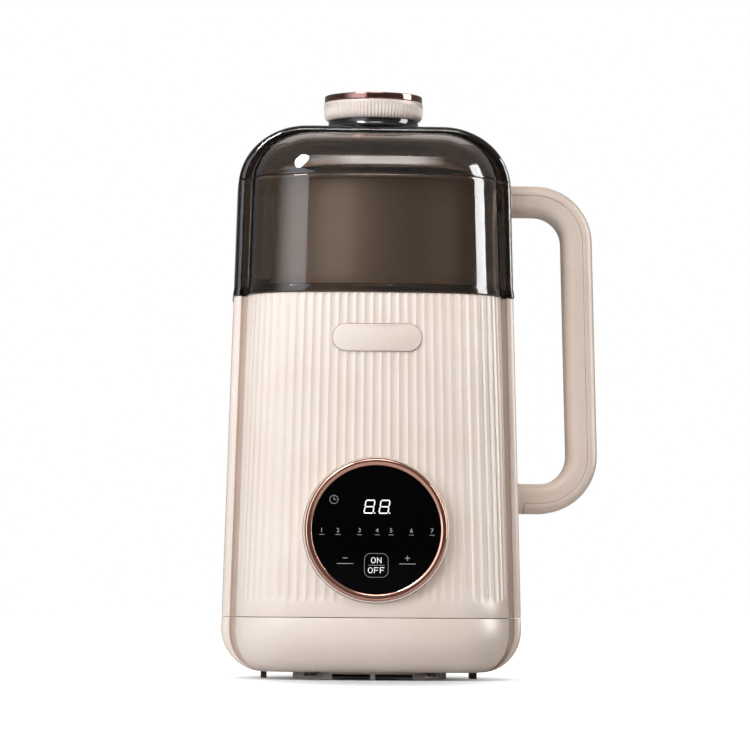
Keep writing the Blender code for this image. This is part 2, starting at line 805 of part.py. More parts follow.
def front_dome_loops(inset, bottom, stop_y, steps=7):
    """Closed loops of the front dome, running back into the rear one."""
    profile = plain_profile(PLAIN_FRONT_STEPS)
    loops = []
    rise = SHOULDER_RISE - ARCH_STEP_TOP
    for z in shoulder_heights(max(bottom, SHOULDER_Z), rise, steps):
        points = front_points(z, inset, stop_y, profile)
        loops.append(at_height(points, z - inset * (z > bottom)))
    return loops


def round_front_edge(bm):
    """Round the arch edge of the rear dome into the lip."""
    bmesh.ops.recalc_face_normals(bm, faces=bm.faces)
    flat = [face for face in bm.faces if face.normal.y < -0.99]
    merged = bmesh.ops.dissolve_faces(bm, faces=flat)["region"][0]
    low = min(vert.co.z for vert in merged.verts)
    edges = [edge for edge in merged.edges
             if max(vert.co.z for vert in edge.verts) > low + FIT_GAP]
    bmesh.ops.bevel(bm, geom=edges, offset=LIP_DEPTH, segments=LIP_STEPS, profile=0.5,
                    affect="EDGES", clamp_overlap=False)
    return bm


def arch_plug_mesh(inset_side, inset_top, front_y, back_y, bottom, steps=12):
    """Solid plug of the arch's elevation, moved in from the rear dome's outline."""
    loops = []
    middle = plan_at(SHOULDER_Z).rear_half - SHOULDER_WIDTH
    width = SHOULDER_WIDTH - inset_side
    rise = SHOULDER_RISE - inset_top
    right = [(middle + width, bottom)]
    right += [(middle + width * math.cos(math.pi / 2 * i / steps),
               SHOULDER_Z + rise * math.sin(math.pi / 2 * i / steps)) for i in range(steps + 1)]
    outline = right + [(-x, z) for x, z in reversed(right)]
    for y in (front_y, back_y):
        loops.append([Vector((x, y, z)) for x, z in outline])
    return solid_mesh(loops)


def make_lid_cover(parent):
    """Smoked cap over the cup, with the arch groove running over it."""
    bottom = LID_SPLIT_Z + LID_LIFT_GAP / 2
    below = LID_SPLIT_Z - CUT_OVERRUN
    floor_y = GROOVE_PLANE_Y + GROOVE_DEPTH
    dome = solid_mesh(rear_dome_loops(0.0, bottom, GROOVE_PLANE_Y))
    cover = add_piece("lid_cover", round_front_edge(dome), parent,
                      finish("smoked_lid", SMOKE, 0.08, alpha=0.55))
    cut(cover, "arch_recess", arch_plug_mesh(LIP_WIDTH, LIP_WIDTH, GROOVE_PLANE_Y - CUT_OVERRUN,
                                             floor_y, below))
    web_y = floor_y + PLASTIC_WALL
    weld_on(cover, "front_dome", solid_mesh(front_dome_loops(0.0, bottom, web_y)))
    cut(cover, "rear_hollow", solid_mesh(hollow_loops(rear_dome_loops, web_y + PLASTIC_WALL,
                                                      below)))
    cut(cover, "front_hollow", solid_mesh(hollow_loops(front_dome_loops, web_y + 2 * PLASTIC_WALL,
                                                       below)))
    cut(cover, "spindle_hole", rod_mesh((0, 0, LID_SPLIT_Z), (0, 0, DOME_TOP_Z + CUT_OVERRUN),
                                        SPINDLE_RADIUS + RUNNING_GAP, 24))
    return cover


def hollow_loops(make_loops, stop_y, below):
    """Inside of a dome, run down past its open bottom."""
    loops = make_loops(PLASTIC_WALL, LID_SPLIT_Z, stop_y)
    first = [Vector((p.x, p.y, below)) for p in loops[0]]
    return [first] + loops


# Round pieces of the lid and the knob

def cup_top_z():
    """Height of the cup's rim."""
    return LID_SPLIT_Z + CUP_ABOVE_SPLIT


def cup_floor_z():
    """Height of the cup's floor, inside."""
    return cup_top_z() - CUP_DEPTH


def dimple_low_z():
    """Underside of the bayonet dimples pressed into the cup."""
    return cup_top_z() - DIMPLE_DROP - DIMPLE_HEIGHT


def even_angles(count, first):
    """Angles spread evenly round the axis."""
    return [first + 2.0 * math.pi * i / count for i in range(count)]


def make_pedestal(parent):
    """Dark collar under the knob, fixed on the lid cover."""
    bore = SPINDLE_RADIUS + RUNNING_GAP
    low = DOME_TOP_Z + FIT_GAP
    high = low + PEDESTAL_HEIGHT
    flare = PEDESTAL_FOOT - PEDESTAL_WAIST
    profile = [(bore, low), (PEDESTAL_FOOT, low), (PEDESTAL_FOOT, low + flare / 2)]
    profile += [(PEDESTAL_WAIST + flare * (1.0 - math.sin(math.pi / 2 * share)),
                 low + flare / 2 + 2.0 * flare * (1.0 - math.cos(math.pi / 2 * share)))
                for share in (0.3, 0.6, 1.0)]
    profile += [(PEDESTAL_WAIST, high), (bore, high)]
    return add_piece("knob_collar", turned_mesh(profile, CUP_STEPS), parent,
                     finish("collar_black", BLACK, 0.12))


def knob_bottom_z():
    """Underside of the turning grip."""
    return DOME_TOP_Z + PEDESTAL_HEIGHT + 2 * FIT_GAP


def make_knob_grip(parent):
    """Cream grip of the knob, rounded at its foot, with the spindle's socket."""
    low = knob_bottom_z()
    high = low + GRIP_HEIGHT
    floor = low + SPINDLE_GRIP + FIT_GAP
    bore = SPINDLE_RADIUS + FIT_GAP
    profile = [(bore, low), (GRIP_FLOOR, low), (GRIP_RADIUS - GRIP_ROUND / 3, low + GRIP_ROUND / 2),
               (GRIP_RADIUS, low + GRIP_ROUND * 1.5), (GRIP_RADIUS, high), (0.0, high),
               (0.0, floor), (bore, floor)]
    return add_piece("knob_grip", turned_mesh(profile, ROUND_STEPS), parent,
                     finish("knob_cream", CREAM, 0.38))


def make_knob_trim(parent):
    """Rose gold ring on the grip and the cream cap that it frames."""
    low = knob_bottom_z() + GRIP_HEIGHT + FIT_GAP
    high = low + RING_HEIGHT
    inner = RING_RADIUS - RING_WIDTH
    ring = [(inner, low), (RING_RADIUS, low), (RING_RADIUS, high - RING_EDGE),
            (RING_RADIUS - RING_EDGE / 3, high - RING_EDGE / 3), (RING_RADIUS - RING_EDGE, high),
            (inner + RING_EDGE, high), (inner, high - RING_EDGE)]
    add_piece("knob_ring", turned_mesh(ring, ROUND_STEPS), parent,
              finish("knob_rose_gold", ROSE_GOLD, 0.15, 1.0))
    cap_radius = inner - FIT_GAP
    cap_top = high - KNOB_CAP_DROP
    cap = [(0.0, low), (cap_radius, low), (cap_radius, cap_top - RING_EDGE / 2),
           (cap_radius - RING_EDGE / 2, cap_top), (0.0, cap_top)]
    add_piece("knob_cap", turned_mesh(cap, CUP_STEPS), parent, finish("cap_cream", CREAM, 0.38))


def inner_lid_top_z():
    """Top of the inner lid's plate, just under the gasket's top."""
    return cup_top_z() + FIT_GAP + GASKET_HEIGHT - INNER_LID_DROP


def make_spindle(parent):
    """Spindle that turns the inner lid from the knob, with its clamping screw."""
    low = inner_lid_top_z() + FIT_GAP
    high = knob_bottom_z() + SPINDLE_GRIP
    bore = SCREW_RADIUS + FIT_GAP
    bore_top = low + LID_SCREW_LENGTH
    spindle = [(bore, low), (SPINDLE_FLANGE, low), (SPINDLE_FLANGE, low + SPINDLE_FLANGE_THICK),
               (SPINDLE_RADIUS, low + SPINDLE_FLANGE_THICK), (SPINDLE_RADIUS, high), (0.0, high),
               (0.0, bore_top), (bore, bore_top)]
    add_piece("knob_spindle", turned_mesh(spindle, 28), parent, finish("spindle", STEEL, 0.25, 1.0))
    seat = inner_lid_top_z() - INNER_LID_THICK - FIT_GAP
    screw = [(0.0, seat - SCREW_HEAD_THICK), (SCREW_HEAD_RADIUS, seat - SCREW_HEAD_THICK),
             (SCREW_HEAD_RADIUS, seat), (SCREW_RADIUS, seat), (SCREW_RADIUS, bore_top - FIT_GAP),
             (0.0, bore_top - FIT_GAP)]
    add_piece("lid_screw", turned_mesh(screw, 20), parent, finish("lid_screw", STEEL, 0.3, 1.0))


def make_inner_lid(parent):
    """Round inner lid with its skirt and bayonet lugs, and the gasket on its edge."""
    top = inner_lid_top_z()
    under = top - INNER_LID_THICK
    lug_top = dimple_low_z() - RUNNING_GAP
    low = lug_top - LUG_HEIGHT
    skirt = CUP_RADIUS - SKIRT_CLEARANCE
    plate_radius = GASKET_REACH - GASKET_WIDTH - FIT_GAP
    hole = SCREW_RADIUS + FIT_GAP
    profile = [(hole, under), (skirt - SKIRT_WALL, under), (skirt - SKIRT_WALL, low), (skirt, low),
               (skirt, under), (plate_radius, under), (plate_radius, top), (hole, top)]
    lid = add_piece("inner_lid", turned_mesh(profile, CUP_STEPS), parent,
                    finish("inner_lid_black", BLACK, 0.3))
    reach = (CUP_RADIUS - DIMPLE_REACH / 3) * math.cos(math.pi / CUP_STEPS)
    for number, angle in enumerate(even_angles(DIMPLE_COUNT, math.pi / 2 + LUG_TURN)):
        lug = arc_block_mesh(skirt - SKIRT_WALL / 2, reach, low + FIT_GAP, lug_top, angle, LUG_SPAN)
        weld_on(lid, f"bayonet_lug_{number + 1}", lug)
    for number, angle in enumerate(even_angles(STEAM_HOLES, math.pi / 4)):
        x, y = STEAM_HOLE_OFFSET * math.cos(angle), STEAM_HOLE_OFFSET * math.sin(angle)
        cut(lid, f"steam_hole_{number + 1}", rod_mesh((x, y, under - CUT_OVERRUN),
                                                      (x, y, top + CUT_OVERRUN),
                                                      STEAM_HOLE_RADIUS, 12))
    seal_low = cup_top_z() + FIT_GAP
    seal_top = seal_low + GASKET_HEIGHT
    inner = GASKET_REACH - GASKET_WIDTH
    edge = GASKET_WIDTH / 4
    gasket = [(inner, seal_low), (GASKET_REACH - edge, seal_low), (GASKET_REACH, seal_low + edge),
              (GASKET_REACH, seal_top - edge), (GASKET_REACH - edge, seal_top), (inner, seal_top)]
    add_piece("lid_gasket", turned_mesh(gasket, CUP_STEPS), parent, finish("gasket", RUBBER, 0.25))


# Cup and what is fixed to it

def make_cup(parent):
    """Drawn steel cup with a rolled rim, bayonet dimples and its probe holes."""
    floor = cup_floor_z()
    top = cup_top_z()
    outer = CUP_RADIUS + STEEL_WALL
    corner = CUP_RADIUS - CUP_BOTTOM_ROUND
    centre_z = floor + CUP_BOTTOM_ROUND
    turns = [math.pi / 2 * i / 4 for i in range(5)]
    profile = [(CUP_RADIUS, top)]
    profile += [(corner + CUP_BOTTOM_ROUND * math.cos(a), centre_z - CUP_BOTTOM_ROUND * math.sin(a))
                for a in turns]
    profile += [(CUP_DRAIN_HOLE, floor), (CUP_DRAIN_HOLE, floor - STEEL_WALL)]
    under = CUP_BOTTOM_ROUND + STEEL_WALL
    profile += [(corner + under * math.cos(a), centre_z - under * math.sin(a))
                for a in reversed(turns)]
    profile += [(outer, top - CUP_RIM_THICK), (CUP_RIM_REACH, top - CUP_RIM_THICK),
                (CUP_RIM_REACH, top)]
    cup = add_piece("cup", turned_mesh(profile, CUP_STEPS), parent, finish("cup", STEEL, 0.3, 1.0))
    low = dimple_low_z()
    for number, angle in enumerate(even_angles(DIMPLE_COUNT, math.pi / 2)):
        block = arc_block_mesh(CUP_RADIUS - DIMPLE_REACH, CUP_RADIUS + STEEL_WALL / 2,
                               low, low + DIMPLE_HEIGHT, angle, DIMPLE_SPAN)
        weld_on(cup, f"bayonet_dimple_{number + 1}", block)
    x, y = probe_place()
    cut(cup, "probe_hole", rod_mesh((x, y, floor - under), (x, y, floor + CUT_OVERRUN),
                                    PROBE_RADIUS + FIT_GAP, 16))
    side = Vector((math.cos(LEVEL_PROBE_ANGLE), math.sin(LEVEL_PROBE_ANGLE), 0))
    rise = Vector((0, 0, level_probe_z()))
    cut(cup, "level_hole", rod_mesh(side * corner + rise, side * (outer + CUT_OVERRUN) + rise,
                                    LEVEL_PROBE_RADIUS + FIT_GAP, 16))
    return cup


def probe_place():
    """Plan position of the temperature probe."""
    return PROBE_OFFSET * math.cos(PROBE_ANGLE), PROBE_OFFSET * math.sin(PROBE_ANGLE)


def level_probe_z():
    """Height of the overflow probe in the cup's wall."""
    return cup_top_z() - LEVEL_PROBE_DROP


def make_probes(parent):
    """Temperature probe in the cup's floor and overflow probe in its wall."""
    floor = cup_floor_z()
    head = floor + FIT_GAP + PROBE_HEAD / 3
    profile = [(0.0, floor - HEATER_THICK), (PROBE_RADIUS, floor - HEATER_THICK),
               (PROBE_RADIUS, floor + FIT_GAP), (PROBE_HEAD, floor + FIT_GAP), (PROBE_HEAD, head),
               (PROBE_RADIUS, head), (PROBE_RADIUS, floor + PROBE_RISE - PROBE_RADIUS / 2),
               (PROBE_RADIUS / 2, floor + PROBE_RISE), (0.0, floor + PROBE_RISE)]
    probe = turned_mesh(profile, 20)
    bmesh.ops.translate(probe, vec=(*probe_place(), 0), verts=probe.verts)
    add_piece("temperature_probe", probe, parent, finish("probe", STEEL, 0.25, 1.0))
    wall = CUP_RADIUS + STEEL_WALL + FIT_GAP
    profile = [(0.0, CUP_RADIUS - LEVEL_PROBE_INSIDE),
               (LEVEL_PROBE_RADIUS, CUP_RADIUS - LEVEL_PROBE_INSIDE), (LEVEL_PROBE_RADIUS, wall),
               (LEVEL_PROBE_HEAD, wall), (LEVEL_PROBE_HEAD, wall + LEVEL_PROBE_HEAD / 2),
               (0.0, wall + LEVEL_PROBE_HEAD / 2)]
    level = turned_mesh(profile, 16)
    turn = (Matrix.Translation((0, 0, level_probe_z()))
            @ Matrix.Rotation(LEVEL_PROBE_ANGLE, 4, "Z") @ Matrix.Rotation(math.pi / 2, 4, "Y"))
    bmesh.ops.transform(level, matrix=turn, verts=level.verts)
    add_piece("overflow_probe", level, parent, finish("overflow_probe", STEEL, 0.3, 1.0))


def make_cup_collar(parent):
    """Deck that fills the space between the cup's rim and the smoked band."""
    profile = plain_profile(PLAIN_FRONT_STEPS)
    high = cup_top_z() - CUP_RIM_THICK - FIT_GAP
    hole = CUP_RADIUS + STEEL_WALL + RUNNING_GAP
    sections = []
    for z in (high - COLLAR_THICK, high):
        edge = PLASTIC_WALL + FIT_GAP
        outer = at_height(inner_row(z, edge, edge, profile), z)
        inner = []
        for point in outer:
            flat = Vector((point.x, point.y, 0)).normalized() * hole
            inner.append(Vector((flat.x, flat.y, z)))
        sections.append((outer, inner))
    add_piece("cup_collar", wall_mesh(sections, closed=True), parent,
              finish("collar_smoke", BLACK, 0.35))


# Heater, frame, motor and fan under the cup

def heater_top_z():
    """Top of the heater plate, just under the cup."""
    return cup_floor_z() - STEEL_WALL - FIT_GAP


def frame_top_z():
    """Top of the frame plate, just under the heater."""
    return heater_top_z() - HEATER_THICK - FIT_GAP


def motor_top_z():
    """Top of the motor's can, just under the frame plate."""
    return frame_top_z() - FRAME_THICK - FIT_GAP


def motor_low_z():
    """Open bottom of the motor's can."""
    return motor_top_z() - MOTOR_HEIGHT


def base_floor_z():
    """Inside face of the base's floor."""
    return STANCE_HEIGHT + FLOOR_THICK


def ring_profile(inner, outer, low, high):
    """Closed rectangle of a plain ring."""
    return [(inner, low), (outer, low), (outer, high), (inner, high)]


def leg_places():
    """Plan positions of the frame's legs and of the screws under them."""
    circle = SKIRT_RING_RADIUS + FRAME_LEG_ROOM
    return [(circle * math.cos(a), circle * math.sin(a))
            for a in even_angles(FRAME_LEG_COUNT, math.pi / 4)]


def make_heater(parent):
    """Heater plate with the hole for the temperature probe."""
    top = heater_top_z()
    heater = add_piece("heater_plate",
                       turned_mesh(ring_profile(HEATER_HOLE, CUP_RADIUS - HEATER_INSET,
                                                top - HEATER_THICK, top), CUP_STEPS),
                       parent, finish("heater", ALUMINIUM, 0.4, 1.0))
    x, y = probe_place()
    cut(heater, "heater_probe_hole", rod_mesh((x, y, top - HEATER_THICK - CUT_OVERRUN),
                                              (x, y, top + CUT_OVERRUN),
                                              PROBE_RADIUS + FIT_GAP, 16))


def make_frame(parent):
    """Frame plate on four legs that carries the cup and the motor."""
    top = frame_top_z()
    low = top - FRAME_THICK
    frame = add_piece("motor_frame",
                      turned_mesh(ring_profile(BUSH_NUT_RADIUS + RUNNING_GAP,
                                               CUP_RADIUS - FRAME_INSET, low, top), CUP_STEPS),
                      parent, finish("frame", ALUMINIUM, 0.5, 1.0))
    foot = base_floor_z() + FIT_GAP
    for number, (x, y) in enumerate(leg_places()):
        weld_on(frame, f"leg_{number + 1}", rod_mesh((x, y, foot), (x, y, low + FRAME_THICK / 2),
                                                     FRAME_LEG_RADIUS, 16))
        cut(frame, f"leg_bore_{number + 1}", rod_mesh((x, y, foot - CUT_OVERRUN),
                                                      (x, y, foot + SCREW_LENGTH),
                                                      SCREW_RADIUS + FIT_GAP, 12))


def make_motor(parent, rotor):
    """Motor can, stator, end plate and bearings, with the turning parts."""
    top, low = motor_top_z(), motor_low_z()
    seat = BEARING_RADIUS + FIT_GAP
    inside = MOTOR_RADIUS - MOTOR_CAN_WALL
    can = [(seat, top - MOTOR_CAN_WALL), (inside, top - MOTOR_CAN_WALL), (inside, low),
           (MOTOR_RADIUS, low), (MOTOR_RADIUS, top), (seat, top)]
    add_piece("motor_can", turned_mesh(can, 32), parent, finish("motor_can", STEEL, 0.45, 1.0))
    stator_out = inside - FIT_GAP
    stator_low = low + ROTOR_MARGIN
    stator_top = top - ROTOR_MARGIN
    stator_in = stator_out - STATOR_THICK
    add_piece("motor_stator", turned_mesh(ring_profile(stator_in, stator_out, stator_low,
                                                       stator_top), 32),
              parent, finish("stator", COPPER, 0.5, 1.0))
    plate_top = low - FIT_GAP
    add_piece("motor_end_plate", turned_mesh(ring_profile(seat, MOTOR_RADIUS,
                                                          plate_top - MOTOR_CAN_WALL, plate_top), 32),
              parent, finish("end_plate", ALUMINIUM, 0.45, 1.0))
    bore = SHAFT_RADIUS + FIT_GAP
    for name, high in (("upper_bearing", top), ("lower_bearing", plate_top)):
        add_piece(name, turned_mesh(ring_profile(bore, BEARING_RADIUS, high - BEARING_HEIGHT, high),
                                    28), parent, finish(name, STEEL, 0.2, 1.0))
    add_piece("motor_rotor", turned_mesh(ring_profile(bore, stator_in - ROTOR_GAP, stator_low,
                                                      stator_top), 32),
              rotor, finish("rotor", STEEL, 0.5, 1.0))


def fan_top_z():
    """Top of the cooling fan's disc."""
    return motor_low_z() - MOTOR_CAN_WALL - BEARING_HEIGHT - FAN_DROP


def make_fan(rotor):
    """Cooling fan on the lower end of the shaft."""
    top = fan_top_z()
    bore = SHAFT_RADIUS + FIT_GAP
    disc_low = top - FAN_DISC_THICK
    low = top - FAN_HEIGHT
    profile = [(bore, low), (FAN_HUB_RADIUS, low), (FAN_HUB_RADIUS, disc_low),
               (FAN_RADIUS, disc_low), (FAN_RADIUS, top), (bore, top)]
    fan = add_piece("cooling_fan", turned_mesh(profile, 36), rotor, finish("fan", BLACK, 0.4))
    vanes = []
    for angle in even_angles(FAN_BLADES, 0.0):
        vane = box_mesh((FAN_HUB_RADIUS - FAN_VANE_THICK, -FAN_VANE_THICK / 2, low + FIT_GAP),
                        (FAN_RADIUS - FAN_VANE_THICK, FAN_VANE_THICK / 2,
                         disc_low + FAN_DISC_THICK / 2))
        bmesh.ops.rotate(vane, matrix=Matrix.Rotation(angle, 3, "Z"), verts=vane.verts)
        vanes.append(vane)
    weld_on(fan, "fan_vanes", join_meshes(vanes[0], vanes[1:]))


def make_shaft_line(parent, rotor):
    """Bush through the cup's floor, its seal and nut, and the shaft in it."""
    floor = cup_floor_z()
    flange_top = floor + FIT_GAP + BUSH_FLANGE_THICK
    low = heater_top_z() - HEATER_THICK
    seal_low = flange_top - SEAL_HEIGHT
    bush = [(BUSH_BORE, low), (BUSH_RADIUS, low), (BUSH_RADIUS, floor + FIT_GAP),
            (BUSH_FLANGE_RADIUS, floor + FIT_GAP), (BUSH_FLANGE_RADIUS, flange_top),
            (BUSH_BORE, flange_top)]
    add_piece("shaft_bush", turned_mesh(bush, 28), parent, finish("bush", STEEL, 0.25, 1.0))
    under = floor - STEEL_WALL - FIT_GAP
    nut = ring_profile(BUSH_RADIUS + FIT_GAP, BUSH_NUT_RADIUS, under - BUSH_NUT_THICK, under)
    add_piece("bush_nut", turned_mesh(nut, 6 * 4, hex_reach), parent,
              finish("bush_nut", BRASS, 0.3, 1.0))
    seal_out = BUSH_BORE - FIT_GAP
    seal = ring_profile(seal_out - SEAL_WALL, seal_out, seal_low, flange_top)
    add_piece("shaft_seal", turned_mesh(seal, 24), parent, finish("shaft_seal", RUBBER, 0.6))
    sleeve = ring_profile(SHAFT_RADIUS + FIT_GAP, seal_out, low, low + SLEEVE_HEIGHT)
    add_piece("shaft_sleeve", turned_mesh(sleeve, 24), parent, finish("sleeve", BRASS, 0.3, 1.0))
    shaft_top = blade_base_z() + BLADE_HUB_HEIGHT + 2 * BLADE_THICK + BLADE_NUT_HEIGHT
    rod = [(0.0, fan_top_z() - FAN_HEIGHT), (SHAFT_RADIUS, fan_top_z() - FAN_HEIGHT),
           (SHAFT_RADIUS, shaft_top), (SHAFT_RADIUS / 2, shaft_top + SHAFT_RADIUS / 3),
           (0.0, shaft_top + SHAFT_RADIUS / 3)]
    add_piece("motor_shaft", turned_mesh(rod, 20), rotor, finish("shaft", STEEL, 0.2, 1.0))


def hex_reach(index, number, radius):
    """Outer corners of a nut drawn in to six flats, its bore left round."""
    if radius < BUSH_NUT_RADIUS:
        return radius
    off = (index % 4) * math.pi / 12 - math.pi / 6
    return radius * math.cos(math.pi / 6) / math.cos(off)


def blade_base_z():
    """Underside of the blade hub, above the seal."""
    return cup_floor_z() + BUSH_FLANGE_THICK + 3 * FIT_GAP


def blade_mesh(rise, z):
    """Flat two-winged blade with swept cutting edges and its tips bent up or down."""
    half = BLADE_WIDTH / 2
    root = BLADE_HUB_RADIUS
    wing = [(root, half), (BLADE_REACH * 0.62, half), (BLADE_REACH, half * 0.15),
            (BLADE_REACH * 0.96, -half * 0.55), (BLADE_REACH * 0.55, -half), (root, -half)]
    outline = wing[::-1] + [(-x, -y) for x, y in wing[::-1]]
    loops = []
    for level in (z, z + BLADE_THICK):
        loops.append([Vector((x, y, level + rise * bend_share(abs(x)))) for x, y in outline])
    blade = solid_mesh(loops)
    bmesh.ops.triangulate(blade, faces=[face for face in blade.faces if len(face.verts) > 4])
    return blade


def bend_share(reach):
    """Share of the tip's rise reached at a distance from the shaft."""
    return max(0.0, (reach - BLADE_HUB_RADIUS) / (BLADE_REACH - BLADE_HUB_RADIUS))


def make_blades(rotor):
    """Hub, two blades and the cap nut on the shaft."""
    base = blade_base_z()
    bore = SHAFT_RADIUS + FIT_GAP
    hub_top = base + BLADE_HUB_HEIGHT
    add_piece("blade_hub", turned_mesh(ring_profile(bore, BLADE_HUB_RADIUS, base, hub_top), 24),
              rotor, finish("blade_hub", STEEL, 0.25, 1.0))
    lower_z = hub_top + FIT_GAP
    upper_z = lower_z + BLADE_THICK + FIT_GAP
    for name, rise, z, turn in (("blade_lower", -BLADE_RISE / 2, lower_z, 0.0),
                                ("blade_upper", BLADE_RISE, upper_z, BLADE_TURN)):
        mesh = blade_mesh(rise, z)
        bmesh.ops.rotate(mesh, matrix=Matrix.Rotation(turn, 3, "Z"), verts=mesh.verts)
        blade = add_piece(name, mesh, rotor, finish(name, STEEL, 0.2, 1.0), smooth=False)
        cut(blade, name + "_bore", rod_mesh((0, 0, z - CUT_OVERRUN),
                                            (0, 0, z + BLADE_THICK + CUT_OVERRUN), bore, 20))
    nut_low = upper_z + BLADE_THICK + FIT_GAP
    nut = [(bore, nut_low), (BLADE_NUT_RADIUS, nut_low),
           (BLADE_NUT_RADIUS, nut_low + BLADE_NUT_HEIGHT * 0.6),
           (BLADE_NUT_RADIUS * 0.72, nut_low + BLADE_NUT_HEIGHT * 0.8),
           (bore, nut_low + BLADE_NUT_HEIGHT * 0.8)]
    add_piece("blade_nut", turned_mesh(nut, 24), rotor, finish("blade_nut", STEEL, 0.2, 1.0))


# Panel and name plate on the front face

def face_y(x, z):
    """Front face of the body, near its middle, at a place."""
    size = plan_at(z)
    return -(size.front - FRONT_BULGE + math.sqrt(FRONT_BULGE ** 2 - x * x))


def panel_matrix():
    """Place and tilt of the panel: its local Z points out of the front face."""
    tilt = math.pi / 2 - math.atan(DRAFT_SHARE)
    return (Matrix.Translation((0, face_y(0.0, PANEL_Z), PANEL_Z))
            @ Matrix.Rotation(tilt, 4, "X"))


def panel_turned(profile, steps=ROUND_STEPS):
    """Turned shape about the panel's axis, its Z measured out from the face."""
    bm = turned_mesh(profile, steps)
    bmesh.ops.transform(bm, matrix=panel_matrix(), verts=bm.verts)
    return bm


def glass_front():
    """Front of the glass, measured out from the face."""
    return PANEL_PROUD + BEZEL_CREST - BEZEL_SINK


def board_front():
    """Front of the control board, measured out from the face."""
    return glass_front() - GLASS_THICK - DISPLAY_THICK - 2 * FIT_GAP


def tub_floor():
    """Inside of the panel tub's floor, measured out from the face."""
    return board_front() - BOARD_THICK - FIT_GAP


def make_panel(parent):
    """Cream tub, rose gold bezel, black glass, display and board of the panel."""
    inside = PANEL_RADIUS - PANEL_RIM
    floor = tub_floor()
    tub = [(0.0, floor - PANEL_BACK), (PANEL_RADIUS, floor - PANEL_BACK),
           (PANEL_RADIUS, PANEL_PROUD), (inside, PANEL_PROUD), (inside, floor), (0.0, floor)]
    add_piece("panel_tub", panel_turned(tub), parent, finish("tub_cream", CREAM, 0.42))
    outer = inside - FIT_GAP
    inner = outer - BEZEL_WIDTH
    crest = PANEL_PROUD + BEZEL_CREST
    bezel = [(inner, board_front() + FIT_GAP), (outer, board_front() + FIT_GAP),
             (outer, PANEL_PROUD), (outer - BEZEL_WIDTH / 4, crest),
             (outer - BEZEL_WIDTH / 2, crest), (inner, glass_front())]
    add_piece("panel_bezel", panel_turned(bezel), parent,
              finish("bezel_rose_gold", ROSE_GOLD, 0.15, 1.0))
    radius = inner - FIT_GAP
    front = glass_front()
    glass = [(0.0, front - GLASS_THICK), (radius, front - GLASS_THICK),
             (radius, front - GLASS_EDGE), (radius - GLASS_EDGE, front), (0.0, front)]
    add_piece("panel_glass", panel_turned(glass), parent, finish("panel_black", BLACK, 0.06))
    board = [(0.0, board_front() - BOARD_THICK), (outer, board_front() - BOARD_THICK),
             (outer, board_front()), (0.0, board_front())]
    add_piece("control_board", panel_turned(board, CUP_STEPS), parent,
              finish("control_board", BOARD_GREEN, 0.5))
    low_z = board_front() + FIT_GAP
    display = box_mesh((-DISPLAY_WIDTH / 2, DISPLAY_RISE - DISPLAY_HEIGHT / 2, low_z),
                       (DISPLAY_WIDTH / 2, DISPLAY_RISE + DISPLAY_HEIGHT / 2,
                        low_z + DISPLAY_THICK - FIT_GAP))
    bmesh.ops.transform(display, matrix=panel_matrix(), verts=display.verts)
    add_piece("display_module", display, parent, finish("display", BLACK, 0.4), smooth=False)


def panel_opening_mesh():
    """Round cutter for the tub's hole in the front shell."""
    radius = PANEL_RADIUS + FIT_GAP
    back = tub_floor() - PANEL_BACK - CUT_OVERRUN
    front = PANEL_PROUD + CUT_OVERRUN
    return panel_turned([(0.0, back), (radius, back), (radius, front), (0.0, front)])


def plate_mesh(grow, proud, sunk):
    """Pill that follows the bulge of the face, between two depths."""
    radius = PLATE_HALF_HEIGHT + grow
    straight = PLATE_HALF_LENGTH - PLATE_HALF_HEIGHT
    ends = [math.pi / 2 * i / PLATE_END_STEPS for i in range(PLATE_END_STEPS + 1)]
    right = [(straight + radius * math.sin(a), radius * math.cos(a)) for a in ends]
    middle = [(straight * share, radius) for share in (-0.75, -0.5, -0.25, 0.0, 0.25, 0.5, 0.75)]
    stations = [(-x, h) for x, h in reversed(right)] + middle + right
    loops = []
    for x, height in stations:
        high, low = PLATE_Z + height, PLATE_Z - height
        loops.append([Vector((x, face_y(x, high) - proud, high)),
                      Vector((x, face_y(x, low) - proud, low)),
                      Vector((x, face_y(x, low) + sunk, low)),
                      Vector((x, face_y(x, high) + sunk, high))])
    return solid_mesh(loops)


def make_name_plate(parent):
    """Bare plate set into the flutes."""
    add_piece("name_plate", plate_mesh(0.0, PLATE_PROUD, PLATE_THICK - PLATE_PROUD), parent,
              finish("plate_cream", CREAM, 0.4))


# Underside

def make_bottom_screws(parent):
    """Screws through the base's floor into the frame's legs."""
    seat = STANCE_HEIGHT - FIT_GAP
    profile = [(0.0, seat - SCREW_HEAD_THICK), (SCREW_HEAD_RADIUS, seat - SCREW_HEAD_THICK),
               (SCREW_HEAD_RADIUS, seat), (SCREW_RADIUS, seat),
               (SCREW_RADIUS, seat + SCREW_LENGTH), (0.0, seat + SCREW_LENGTH)]
    for number, (x, y) in enumerate(leg_places()):
        screw = turned_mesh(profile, 16)
        bmesh.ops.translate(screw, vec=(x, y, 0), verts=screw.verts)
        add_piece(f"bottom_screw_{number + 1}", screw, parent,
                  finish(f"bottom_screw_{number + 1}", STEEL, 0.35, 1.0))


def make_feet(parent):
    """Two rubber strips under the rear of the base."""
    top = STANCE_HEIGHT - FIT_GAP
    for name, hand in (("foot_left", -1.0), ("foot_right", 1.0)):
        x = hand * FOOT_X
        add_piece(name, box_mesh((x - FOOT_THICK / 2, FOOT_Y - FOOT_LENGTH / 2, 0.0),
                                 (x + FOOT_THICK / 2, FOOT_Y + FOOT_LENGTH / 2, top)),
                  parent, finish(name, RUBBER, 0.8), smooth=False)


# Power board and inlet

def power_board_z():
    """Middle height of the power board, below the cup's floor."""
    return cup_floor_z() - POWER_BOARD_DROP


